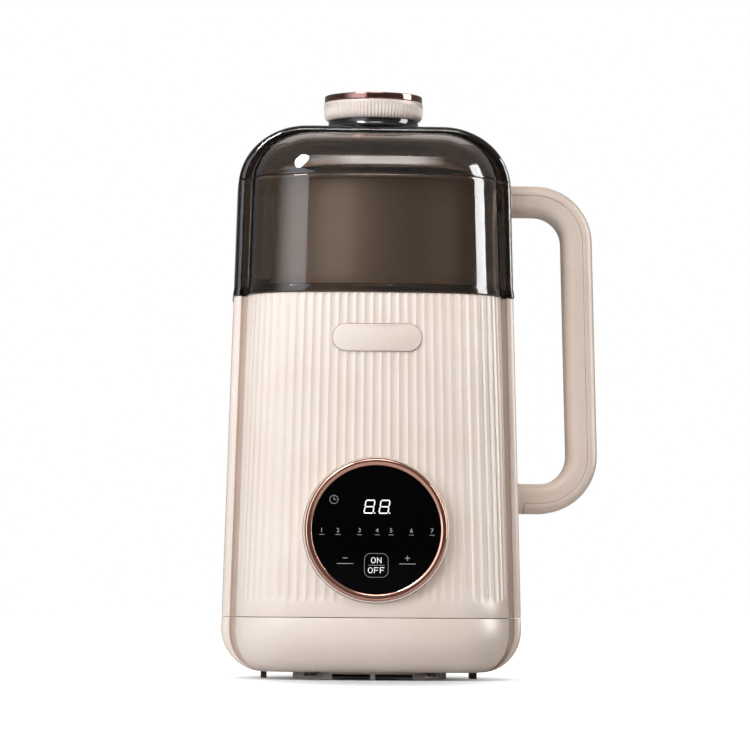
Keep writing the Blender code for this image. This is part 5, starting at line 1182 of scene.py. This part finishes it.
def cap_row(turn, shrink, low):
    """Plan and heights of one row of the cap, at an angle over the shoulder."""
    over = 1.0 - math.cos(turn)
    front, rear = leaned_plan(DRAFT * (SHOULDER_Z - BASE_SEAM_Z), over, over, 0.0)
    heights = [SHOULDER_Z + (rise - shrink) * math.sin(turn) if low is None else low
               for rise in (FRONT_RISE, SHOULDER_RISE)]
    return front, rear, heights


def cap_outer(turn, low=None):
    """Outer row: front, groove, lip, rear and back again."""
    front, rear, heights = cap_row(turn, 0.0, low)
    floor_y = GROOVE_PLANE_Y + GROOVE_DEPTH
    middle = rear[0] - SHOULDER_WIDTH * math.cos(turn)
    reach_in = SHOULDER_WIDTH - LIP_WIDTH
    rise_in = SHOULDER_RISE - LIP_WIDTH
    z_in = SHOULDER_Z + rise_in * math.sin(turn) if low is None else low
    inner = Vector((middle + reach_in * math.cos(turn), floor_y, z_in))
    outer = Vector((rear[0], floor_y, heights[1]))
    lip = [Vector((front[0], floor_y, heights[0])), inner]
    for angle in quarter(LIP_STEPS):
        spot = inner.lerp(outer, math.sin(angle))
        spot.y = GROOVE_PLANE_Y + LIP_DEPTH * (1.0 - math.cos(angle))
        lip.append(spot)
    return whole_row(front, rear, 0.0, (floor_y, GROOVE_PLANE_Y + LIP_DEPTH), heights, lip)


def cap_inner(turn, low=None):
    """Inner row, a wall thickness inside."""
    front, rear, heights = cap_row(turn, WALL, low)
    return inner_row(front, rear, WALL, GROOVE_PLANE_Y + GROOVE_DEPTH + 2 * WALL, heights)


def close_cap(bm, row):
    """Flat and ruled faces between the two ends of the last row."""
    first, second = FRONT_STEPS + 1, FRONT_STEPS + LIP_STEPS + 4
    third = second + REAR_STEPS + 1
    right, left = row[first:second], row[third:][::-1]
    add_face(bm, row[:first] + [right[0], left[0]])
    for i in range(len(right) - 1):
        add_face(bm, (right[i], right[i + 1], left[i + 1], left[i]))
    add_face(bm, [right[-1]] + row[second:third] + [left[-1]])


def cap_mesh():
    """The whole cap, closed."""
    first = math.asin((CAP_LOW - SHOULDER_Z) / SHOULDER_RISE)
    turns = [first + (math.pi / 2 - first) * i / CAP_STEPS for i in range(CAP_STEPS + 1)]
    bm, outer, inner = wall_sides(*[[make(turns[0], CAP_LOW)] + [make(t) for t in turns[1:]]
                                    for make in (cap_outer, cap_inner)], True)
    close_cap(bm, outer[-1])
    close_cap(bm, inner[-1])
    side_faces(bm, [outer[0], inner[0]], True)
    return bm


cap = new_object("lid_cover_dressed", cap_mesh())
shape_with(cap, rod((0, 0, LID_SPLIT_Z + 0.01), (0, 0, DOME_TOP_Z + OVERRUN), KNOB_HOLE, 48))
soften(cap)
hand_over(cap, "lid", smoked, 35.0)

# %% [markdown]
# Knob: a glossy black waist, a cream grip with fine ribs that run round its foot
# and stop under a smooth lip, and a rose gold ring with a plain cream cap. The
# ribs follow a rule round a circle, so a second tree sinks the valleys between
# them into a turned grip by angle and height.

# %% Knob collar, ring and cap
COLLAR_NECK, COLLAR_HIGH = 0.0240, 0.0044
RING_IN, RING_OUT, RING_HIGH, CAP_RADIUS = 0.0232, 0.0262, 0.0034, 0.0229
collar_low = DOME_TOP_Z + FIT_GAP
collar_rows = [(0.0050, collar_low), (0.0259, collar_low), (0.0261, collar_low + 0.0004)]
collar_rows += [(COLLAR_NECK + 0.0021 * (1.0 - math.sin(a)),
                 collar_low + 0.0004 + 0.0036 * (1.0 - math.cos(a))) for a in quarter(12)[1:]]
collar_rows += [(COLLAR_NECK, collar_low + COLLAR_HIGH), (0.0050, collar_low + COLLAR_HIGH)]
dress("knob_collar", turned(collar_rows, 128), "lid", gloss_black)

ring_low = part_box("knob_ring")[0].z
ring = ring_corners(RING_IN, RING_OUT, ring_low, ring_low + RING_HIGH, (0, 1, 1.6, 1.6))
# The ring wears the darkened rose gold, painted shade for the dark room it mirrors.
dress("knob_ring", turned(rounded(ring, 0.0005, 6), 160), "knob", shaded_ring_plating)
top = ring_low + 0.0028
cap_rows = [(0.0, ring_low), (CAP_RADIUS, ring_low), (CAP_RADIUS, top - 0.0004),
            (0.02278, top - 0.0001), (0.0225, top), (0.0, top)]
dress("knob_cap", turned(cap_rows, 128), "knob", cream)

# %% Ribbed grip
RIBS, RIB_DEPTH, GRIP_RADIUS, GRIP_BORE = 88, 0.00060, 0.0265, 0.0048


def make_rib_tree():
    """Sinks valleys between ribs round Z, from a low to a high height."""
    tree, given, result = start_tree("sink_rib_valleys", {
        "Ribs": ("Int", 88), "Depth": ("Float", 0.0005), "Top": ("Float", 0.3060),
        "Fade": ("Float", 0.0010)})
    x, y, z = split_xyz(tree, add_node(tree, "GeometryNodeInputPosition").outputs[0])
    turn = maths(tree, "MULTIPLY", maths(tree, "ARCTAN2", y, x), given["Ribs"])
    valley = maths(tree, "MULTIPLY", maths(tree, "ADD", maths(tree, "COSINE", turn), 1.0), 0.5)
    low = maths(tree, "SUBTRACT", given["Top"], given["Fade"])
    depth = maths(tree, "MULTIPLY", maths(tree, "MULTIPLY", valley, given["Depth"]),
                  ramp(tree, z, low, given["Top"], 1.0, 0.0))
    return sink_by(tree, given, result, depth)


def away_from_axis(place):
    """Outward direction of the grip's side, and none for what lies inside it."""
    flat = Vector((place.x, place.y, 0.0))
    return flat.normalized() if flat.length > COLLAR_NECK - 0.0001 else Vector((0, 0, 0))


grip_low, grip_high = collar_low + COLLAR_HIGH + FIT_GAP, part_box("knob_grip")[1].z
grip_rows = [(GRIP_BORE, grip_low)]
grip_rows += [(COLLAR_NECK + 0.0025 * math.sin(a), grip_low + 0.0040 * (1.0 - math.cos(a)))
              for a in quarter(8)]
grip_rows += [(GRIP_RADIUS, grip_low + 0.0040 + 0.0009 * i) for i in range(1, 5)]
grip_rows += [(GRIP_RADIUS, grip_high - 0.0003), (0.02641, grip_high - 0.00009),
              (0.0262, grip_high), (0.0, grip_high), (0.0, grip_low + 0.0063),
              (GRIP_BORE, grip_low + 0.0063)]
grip = new_object("knob_grip_dressed", turned(grip_rows, RIBS * 8))
store(grip, "outward", [away_from_axis(v.co) for v in grip.data.vertices])
run_tree(grip, make_rib_tree(), Finish=cream, Ribs=RIBS, Depth=RIB_DEPTH, Top=grip_high - 0.0022)
hand_over(grip, "knob", cream, 50.0)

# %% [markdown]
# Through the smoke one sees a dark gasket, a low satin dome over it, the steel
# cup under it and the deck round the cup's rim. They are turned shapes, with the
# small roundings that catch the light: the cup has a rolled rim, and three
# pressed dimples hold the lid by the lugs on its skirt.

# %% Gasket and inner lid
CUP_RADIUS, STEEL = 0.0545, 0.0008
SEAL_HIGH, SEAL_IN, SEAL_OUT = 0.0046, 0.0549, 0.0574
LID_THICK, LID_SKIRT, LUG_HIGH, LUG_SPAN = 0.0024, CUP_RADIUS - 0.0030, 0.0030, math.radians(15.0)
CROWN, CROWN_WALL, CROWN_HOLE, SPINDLE_HOLE = 0.0118, 0.0016, 0.0049, 0.0019
STEAM_CIRCLE, STEAM_HOLE = 0.018, 0.0018
cup_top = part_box("cup")[1].z
seal_low = cup_top + FIT_GAP
seal = ring_corners(SEAL_IN, SEAL_OUT, seal_low, seal_low + SEAL_HIGH, (0, 1.0, 1.6, 0))
dress("lid_gasket", turned(rounded(seal, 0.0007, 5), 160), "knob", seal_black)


def inner_lid_profile(low, top):
    """Plate with its skirt, and the low dome that hides the spindle's flange."""
    under, edge, skirt = top - LID_THICK, SEAL_IN - FIT_GAP, LID_SKIRT
    turns = quarter(16)[1:-1]
    dome = arc(0.0, top, edge, CROWN, turns)
    hollow = arc(0.0, top, edge - CROWN_WALL, CROWN - CROWN_WALL, turns[::-1])
    return ([(SPINDLE_HOLE, under), (skirt - 0.0020, under), (skirt - 0.0020, low), (skirt, low),
             (skirt, under), (edge, under), (edge, top)] + dome
            + [(CROWN_HOLE, top + CROWN), (CROWN_HOLE, top + CROWN - CROWN_WALL)] + hollow
            + [(edge - CROWN_WALL, top), (SPINDLE_HOLE, top)])


def bent_block(near, far, low, high, middle, span, steps=12):
    """A block bent round the axis, between two radii and two heights."""
    angles = [middle + span * (i / steps - 0.5) for i in range(steps + 1)]
    rim = [(far, a) for a in angles] + [(near, a) for a in reversed(angles)]
    return solid_loft([[Vector((*polar(r, a), z)) for r, a in rim] for z in (low, high)])


lid_foot, lid_plate = [corner.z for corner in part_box("inner_lid")]
inner_lid = new_object("inner_lid_dressed", turned(inner_lid_profile(lid_foot, lid_plate), 128))
for degrees in (130, 250, 370):
    lug = bent_block(LID_SKIRT - 0.0010, CUP_RADIUS - 0.0007, lid_foot + FIT_GAP,
                     lid_foot + LUG_HIGH, math.radians(degrees), LUG_SPAN)
    shape_with(inner_lid, lug, "UNION")
steam = [polar(STEAM_CIRCLE, a) for a in FOUR_CORNERS]
shape_with(inner_lid, joined([rod((x, y, lid_plate - 0.004), (x, y, lid_plate + 0.014),
                                  STEAM_HOLE, 24) for x, y in steam]))
soften(inner_lid, 0.00025)
hand_over(inner_lid, "knob", lid_satin)

# %% Cup and deck
CUP_CORNER, RIM_EDGE, SHAFT_HOLE = 0.0100, 0.0006, 0.0092
DIMPLE_SPAN, DIMPLE_DEEP = math.radians(17.0), 0.0016
DECK_THICK, DECK_GAP = 0.0008, 0.0005
cup_floor = cup_top - 0.1350


def cup_profile():
    """Drawn cup: inside wall, rounded floor, outside wall and rolled rim."""
    corner, centre_z, under = CUP_RADIUS - CUP_CORNER, cup_floor + CUP_CORNER, CUP_CORNER + STEEL
    rows = [(CUP_RADIUS, cup_top - RIM_EDGE), (CUP_RADIUS, cup_top - 0.0100)]
    rows += arc(corner, centre_z, CUP_CORNER, -CUP_CORNER, quarter(10))
    rows += [(0.0300, cup_floor), (SHAFT_HOLE, cup_floor), (SHAFT_HOLE, cup_floor - STEEL)]
    rows += arc(corner, centre_z, under, -under, quarter(10)[::-1])
    rows += [(CUP_RADIUS + STEEL, cup_top - 0.0012), (0.0575, cup_top - 0.0012)]
    rows += [(0.0574 + RIM_EDGE * math.sin(a), cup_top - RIM_EDGE - RIM_EDGE * math.cos(a))
             for a in [math.pi * i / 6 for i in range(1, 6)]]
    return rows + [(0.0574, cup_top), (CUP_RADIUS + 0.0005, cup_top)]


def dimple_block(middle, span, steps=24):
    """A soft-ended block pressed inwards from the cup's wall."""
    low = cup_top - 0.0088
    shares = [i / steps for i in range(steps + 1)]
    places = [(middle + span * (t - 0.5), DIMPLE_DEEP * min(1.0, math.sin(math.pi * t) * 2.2))
              for t in shares]
    loops = []
    for z, share in ((low, 0.75), (low + 0.0004, 1.0), (low + 0.0024, 1.0), (low + 0.0028, 0.75)):
        rim = [(CUP_RADIUS + 0.0004, a) for a, _ in places]
        rim += [(CUP_RADIUS - sink * share, a) for a, sink in reversed(places)]
        loops.append([Vector((*polar(r, a), z)) for r, a in rim])
    return solid_loft(loops)


cup = new_object("cup_dressed", turned(cup_profile(), 160))
for number in range(3):
    angle = math.pi / 2 + 2 * math.pi * number / 3
    shape_with(cup, dimple_block(angle, DIMPLE_SPAN), "UNION")
probe_low, probe_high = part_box("temperature_probe")
probe = (probe_low + probe_high) / 2 - AXIS
shape_with(cup, rod((probe.x, probe.y, cup_floor - 0.01), (probe.x, probe.y, cup_floor + 0.003),
                    0.0033, 24))
side = Vector((*polar(1.0, math.radians(67)), 0.0))
rise = Vector((0, 0, cup_top - 0.0200))
shape_with(cup, rod(side * 0.0445 + rise, side * 0.0583 + rise, 0.0027, 24))
hand_over(cup, "housing", cup_steel)

deck_top, deck_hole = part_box("cup_collar")[1].z, CUP_RADIUS + STEEL + DECK_GAP
deck_outer = [lining(z, WALL + FIT_GAP) for z in (deck_top - DECK_THICK, deck_top)]
deck_inner = [[Vector((p.x, p.y, 0.0)).normalized() * deck_hole + Vector((0, 0, p.z)) for p in row]
              for row in deck_outer]
dress("cup_collar", closed_wall(deck_outer, deck_inner), "housing", lid_satin)

# %% [markdown]
# The handle is two mouldings with a seam along its side. A tube along a curve
# would have the wrong section, so a rounded section with a point at the seam is
# carried along the centre line, and flared where it meets the body.

# %% Handle section
HANDLE_DEPTH, HANDLE_THICK, HANDLE_EDGE = 0.0260, 0.0159, 0.0060
HANDLE_TOP_Z, HANDLE_LOW_Z = LID_SPLIT_Z - 0.0078, BASE_SEAM_Z + 0.0640
HANDLE_REACH, HANDLE_BEND, HANDLE_FLARE, ROOT_LENGTH = 0.0366, 0.0230, 0.0022, 0.0040
SEAM_SHARE, SEAM_EDGE, SEAM_GAP = 0.66, 0.00035, 0.00010
EDGE_POINTS, BEND_POINTS, FLARE_POINTS = 9, 28, 8


def bend_stations(before, corner, after):
    """Places and outward normals round a bend of the centre line."""
    inward, outward_way = (corner - before).normalized(), (after - corner).normalized()
    turn = inward.angle(outward_way)
    start = corner - inward * HANDLE_BEND * math.tan(turn / 2)
    normal = Vector((-inward.y, inward.x))
    centre = start - normal * HANDLE_BEND
    stations = []
    for i in range(BEND_POINTS + 1):
        angle = -turn * i / BEND_POINTS
        spun = Vector((normal.x * math.cos(angle) - normal.y * math.sin(angle),
                       normal.x * math.sin(angle) + normal.y * math.cos(angle)))
        stations.append((centre + spun * HANDLE_BEND, spun))
    return stations


def grip_section(low, high, low_edge, high_edge, seam):
    """Points of a handle section as (out, across), with a point at the seam each side."""
    half = HANDLE_DEPTH / 2
    points = []
    for out, across, edge, start in ((high, half, high_edge, 0), (low, half, low_edge, 1),
                                     (low, -half, low_edge, 2), (high, -half, high_edge, 3)):
        centre = (out - math.copysign(edge, out - (low + high) / 2),
                  across - math.copysign(edge, across))
        points += arc(*centre, edge, edge, [math.pi / 2 * (start + i / EDGE_POINTS)
                                            for i in range(EDGE_POINTS + 1)])
        if start in (0, 2):
            points.append((seam, across))
    return points


def section_loop(place, normal, points, flare=(0.0, 0.0), wall_end=False):
    """A handle section set across the centre line, flared towards a root."""
    loop = []
    for out, across in points:
        grow = flare[0] if out < 0 else flare[1]
        spot = place + normal * out * (1.0 + grow / (HANDLE_THICK / 2))
        x = wall_x(spot.y) + FIT_GAP if wall_end else spot.x
        loop.append(Vector((x, HANDLE_Y + across * (1.0 + flare[0] / (HANDLE_DEPTH / 2)), spot.y)))
    return loop


def flare_at(distance):
    """Flare of the root at a distance from the wall."""
    left = max(0.0, HANDLE_FLARE - distance)
    return HANDLE_FLARE - math.sqrt(HANDLE_FLARE ** 2 - left ** 2)


half = HANDLE_THICK / 2
seam = -half + SEAM_SHARE * HANDLE_THICK
inner_top, outer_low = seam - SEAM_GAP / 2, seam + SEAM_GAP / 2
inner_part = grip_section(-half, inner_top, HANDLE_EDGE, SEAM_EDGE, inner_top - SEAM_EDGE)
whole_part = grip_section(-half, half, HANDLE_EDGE, half - outer_low, inner_top - SEAM_EDGE)
outer_part = grip_section(outer_low, half, SEAM_EDGE, half - outer_low - SEAM_EDGE,
                          outer_low + SEAM_EDGE)
print("handle section:", len(whole_part), "points, its seam", round(seam, 4), "m out")

# %% Handle
top_wall, low_wall = wall_x(HANDLE_TOP_Z), wall_x(HANDLE_LOW_Z)
top_start, top_corner, low_corner, low_end = [Vector(place) for place in (
    (top_wall + FIT_GAP, HANDLE_TOP_Z), (top_wall + HANDLE_REACH, HANDLE_TOP_Z),
    (low_wall + HANDLE_REACH, HANDLE_LOW_Z), (low_wall + FIT_GAP, HANDLE_LOW_Z))]
bends = bend_stations(top_start, top_corner, low_corner)
bends += bend_stations(top_corner, low_corner, low_end)
up, down, away = Vector((0.0, 1.0)), Vector((0.0, -1.0)), Vector((1.0, 0.0))
distances = [HANDLE_FLARE * (1.0 - math.cos(a)) for a in quarter(FLARE_POINTS)]
loops = [section_loop(top_start + away * d, up, inner_part, (flare_at(d), 0.0), d == 0.0)
         for d in distances]
loops += [section_loop(place, normal, inner_part) for place, normal in bends]
loops += [section_loop(low_end + away * ROOT_LENGTH, down, part)
          for part in (inner_part, whole_part)]
loops += [section_loop(low_end + away * d, down, whole_part, (flare_at(d), flare_at(d)), d == 0.0)
          for d in reversed(distances)]
handle_inner = new_object("handle_inner_dressed", solid_loft(loops))
for z in (TOP_HOLE_Z, LOW_HOLE_Z):
    shape_with(handle_inner, root_hole(z))
hand_over(handle_inner, "housing", cream_handle)
loops = [section_loop(top_start, up, outer_part, wall_end=True)]
loops += [section_loop(place, normal, outer_part) for place, normal in bends]
loops.append(section_loop(low_end + away * (ROOT_LENGTH + FIT_GAP), down, outer_part))
dress("handle_cover", solid_loft(loops), "housing", cream_handle)

# %% [markdown]
# The touch panel: a thin cream rim, a rose gold bezel that slopes in to the
# glass, and black glass. All are turned about the panel's own axis, which stands
# square to the leaning face.

# %% Panel
PANEL_PROUD, GLASS_FRONT, TUB_BACK, TUB_FLOOR = 0.0024, 0.0019, -0.0076, 0.0020
BEZEL_WIDE, BEZEL_BACK, BEZEL_CREST, CREST_SHARE = 0.0034, -0.0034, 0.0006, 0.32
inside = PANEL_RADIUS - 0.0007
tub_floor = TUB_BACK + TUB_FLOOR
tub = [(0.0, TUB_BACK, 0), (PANEL_RADIUS, TUB_BACK, 0), (PANEL_RADIUS, PANEL_PROUD, 1),
       (inside, PANEL_PROUD, 1), (inside, tub_floor, 0), (0.0, tub_floor, 0)]
dress("panel_tub", on_panel(turned(rounded(tub, 0.00025, 3), 160)), "housing", cream)
bezel_out, bezel_in = inside - FIT_GAP, inside - FIT_GAP - BEZEL_WIDE
crest, spread = PANEL_PROUD + BEZEL_CREST, bezel_out - bezel_in
bezel = [(bezel_in, BEZEL_BACK), (bezel_out, BEZEL_BACK), (bezel_out, PANEL_PROUD - 0.0001)]
for i in range(1, 25):
    share = i / 25
    fall, reach = ((crest - GLASS_FRONT - 0.0002, 0.68) if share > CREST_SHARE
                   else (0.0007, CREST_SHARE))
    lean = (share - CREST_SHARE) / reach
    bezel.append((bezel_out - spread * share, crest - fall * (1.0 - math.sqrt(1.0 - lean ** 2))))
bezel.append((bezel_in, GLASS_FRONT - 0.0001))
dress("panel_bezel", on_panel(turned(bezel, 192)), "housing", rose_gold)
glass = ring_corners(0.0, bezel_in - FIT_GAP, GLASS_FRONT - 0.0020, GLASS_FRONT, (0, 0, 1, 0))
dress("panel_glass", on_panel(turned(rounded(glass, 0.0003, 3), 160)), "housing",
      panel_black)

# %% [markdown]
# The marks of the touch panel are plain and generic: a two-digit seven-segment
# display, a clock face, programme places numbered one to seven, minus and plus
# with a bar under each, and the ON and OFF key. They could be a picture, but
# thin raised shapes stay sharp at any distance. Bright and dim marks are two
# pieces, because they glow differently.

# %% Mark helpers
MARK_LOW, MARK_HIGH = GLASS_FRONT - 0.0001, GLASS_FRONT + 0.00002
DIGIT_SHARE = 0.729


def flat_mark(points):
    """A thin plate from a closed outline on the panel, in metres."""
    return solid_loft([[Vector((x, y, z)) for x, y in points] for z in (MARK_LOW, MARK_HIGH)])


def bar_mark(x, y, width, height, slant=0.0):
    """A rectangle about a place, leaning like an italic by its slant."""
    w, h = width / 2, height / 2
    return flat_mark([(x + i * w + (y + j * h) * slant, y + j * h)
                      for i, j in ((-1, -1), (1, -1), (1, 1), (-1, 1))])


def frame_mark(outer, inner):
    """A closed line between two outlines of the same number of points."""
    rows = [[Vector((x, y, z)) for x, y in loop]
            for loop, z in ((outer, MARK_LOW), (outer, MARK_HIGH), (inner, MARK_HIGH),
                            (inner, MARK_LOW))]
    bm = bmesh.new()
    rings = to_verts(bm, {}, rows)
    side_faces(bm, rings + [rings[0]], True)
    return bm


def round_square(x, y, half_side, corner, steps=8):
    """Outline of a square with rounded corners."""
    points = []
    for quarter_turn, (i, j) in enumerate(((1, 1), (-1, 1), (-1, -1), (1, -1))):
        points += arc(x + i * (half_side - corner), y + j * (half_side - corner), corner, corner,
                      [math.pi / 2 * (quarter_turn + k / steps) for k in range(steps + 1)])
    return points


def number_mark(text, x, y, height):
    """A plain number as a thin mesh, centred on a place."""
    curve = bpy.data.curves.new("mark", "FONT")
    curve.body = text
    curve.size = height / DIGIT_SHARE
    curve.align_x = "CENTER"
    curve.extrude = (MARK_HIGH - MARK_LOW) / 2
    curve.resolution_u = 4
    holder = put_in_scene("mark", curve)
    mesh = bpy.data.meshes.new_from_object(
        holder.evaluated_get(bpy.context.evaluated_depsgraph_get()))
    bpy.data.objects.remove(holder)
    bm = bmesh.new()
    bm.from_mesh(mesh)
    bpy.data.meshes.remove(mesh)
    bmesh.ops.remove_doubles(bm, verts=bm.verts, dist=1e-6)
    bmesh.ops.translate(bm, vec=(x, y - height / 2, (MARK_HIGH + MARK_LOW) / 2), verts=bm.verts)
    return bm


def stroke_mark(start, end, line):
    """A straight stroke of a letter between two places."""
    start, end = Vector(start), Vector(end)
    along = (end - start).normalized() * line / 2
    side = Vector((-along.y, along.x))
    return flat_mark([start - along + side, start - along - side, end + along - side,
                      end + along + side])


def thin_word(text, x, y, height, line):
    """The words ON and OFF in thin even strokes, centred on a place."""
    width, pitch = height * 0.74, height * 1.02
    h, w = height / 2 - line / 2, width / 2 - line / 2
    parts = []
    for index, letter in enumerate(text):
        cx = x + (index - (len(text) - 1) / 2) * pitch
        if letter == "O":
            parts.append(frame_mark(*[arc(cx, y, width * 0.54 - cut, height / 2 - cut,
                                          full_turn(32)) for cut in (0.0, line)]))
            continue
        strokes = [((cx - w, y - h), (cx - w, y + h))]
        if letter == "N":
            strokes += [((cx - w, y + h), (cx + w, y - h)), ((cx + w, y - h), (cx + w, y + h))]
        else:
            strokes += [((cx - w, y + h), (cx + w, y + h)), ((cx - w, y), (cx + w * 0.7, y))]
        parts += [stroke_mark(start, end, line) for start, end in strokes]
    return parts


def seven_segment(x, y, width, height, line, slant):
    """An eight with its point, as a numeric display shows it."""
    gap = line * 0.40
    half_w, half_h = width / 2 - line / 2, height / 2 - line / 2
    along, up_length = width - line - 2 * gap, height / 2 - line - 2 * gap
    marks = [(0, dy, along, line) for dy in (half_h, 0, -half_h)]
    marks += [(i * half_w, j * half_h / 2, line, up_length) for i in (-1, 1) for j in (-1, 1)]
    marks.append((width / 2 + 0.0007, -half_h, line, line))
    parts = []
    for dx, dy, w, h in marks:
        part = bar_mark(0.0, dy, w, h, slant)
        bmesh.ops.translate(part, vec=(x + dx, y, 0), verts=part.verts)
        parts.append(part)
    return parts


print("marks stand", round((MARK_HIGH - GLASS_FRONT) * 1e6), "micrometres proud of the glass")

# %% Panel marks
DIGITS = [(-0.0036, 0.0120), (0.0042, 0.0120)]
DIGIT_SIZE = (0.0052, 0.0072, 0.00056, 0.17)
WORDS = [("ON", 0.0001, -0.0158), ("OFF", 0.0001, -0.0210)]
KEY_FRAME = [(0.0001, -0.01845, 0.00625, 0.0033), (0.0001, -0.01845, 0.00609, 0.00314)]
CLOCK, CLOCK_RINGS = (-0.0221, 0.0156), (0.00225, 0.00204)
PROGRAMME_X = (-0.0284, -0.0199, -0.0087, 0.0005, 0.0077, 0.0183, 0.0290)
SIGN_X, SIGN_Y, SIGN_LINE = (-0.0161, 0.0163), -0.0147, 0.00030
# x, y, width and height of the bars of the key, the clock's hands and the signs
BARS = [(0.0001, -0.0184, 0.0085, 0.00018), (-0.0221, 0.0163, 0.00026, 0.0015),
        (-0.02155, 0.0156, 0.0012, 0.00026), (SIGN_X[1], SIGN_Y, SIGN_LINE, 0.0026)]
BARS += [(x, SIGN_Y, 0.0026, SIGN_LINE) for x in SIGN_X]
BARS += [(x, -0.0176, 0.0086, SIGN_LINE) for x in SIGN_X]
BARS += [(x, -0.0026, 0.0026, 0.00020) for x in PROGRAMME_X]
bright = [part for place in DIGITS for part in seven_segment(*place, *DIGIT_SIZE)]
bright += [part for word in WORDS for part in thin_word(*word, 0.0030, 0.00025)]
dim = [frame_mark(*[round_square(*numbers) for numbers in KEY_FRAME]),
       frame_mark(*[arc(*CLOCK, radius, radius, full_turn(40)) for radius in CLOCK_RINGS])]
dim += [bar_mark(*numbers) for numbers in BARS]
dim += [number_mark(str(number + 1), x, -0.0002, 0.0023) for number, x in enumerate(PROGRAMME_X)]


def lit_finish(name, level, glow):
    """Marks lit from behind, a little uneven as real ones are."""
    colour = (level, level, level)
    material, tree, shader = start_finish(name, colour, 0.5, Emission_Strength=glow)
    marks = use_group(tree, HANDLING_MARKS, place_of(tree), Smudge_Scale=420.0)
    tone = blend_colours(tree, marks["Smudge"], [0.82 * c for c in colour], colour)
    feed(tree, shader, Base_Color=tone, Emission_Color=tone)
    return material


for name, parts, finish in (("display_digits", bright, lit_finish("lit_white", 0.9, 0.9)),
                            ("panel_legends", dim, lit_finish("lit_grey", 0.30, 0.45))):
    hand_over(new_object(name, on_panel(joined(parts))), "housing", finish, 35.0)

# %% [markdown]
# CAD nodes whose shape is already right stay as they are and take their finish
# by the material slot that the record gives them.

# %% Finishes of the CAD nodes
FINISH_OF_SLOT = {
    "cream_shell": cream, "cream_trim": cream, "plate_cream": cream, "cream_handle": cream_handle,
    "knob_cream": cream, "smoked_plastic": smoked, "cup_steel": cup_steel,
    "bright_steel": bright_steel, "blade_steel": blade_steel, "plated_steel": plated_steel,
    "cast_aluminium": aluminium, "winding_copper": copper, "brass_parts": brass,
    "black_rubber": rubber, "seal_black": seal_black, "rose_gold": rose_gold,
    "panel_black": panel_black, "gloss_black": gloss_black, "inner_black": inner_black,
    "dark_plastic": dark_plastic, "inlet_black": inlet_black, "board_green": board_green}
for part in frame["record"]["subparts"]:
    for place in frame["nodes"][part["node"]].material_slots:
        place.material = FINISH_OF_SLOT[part["material_slot"]]
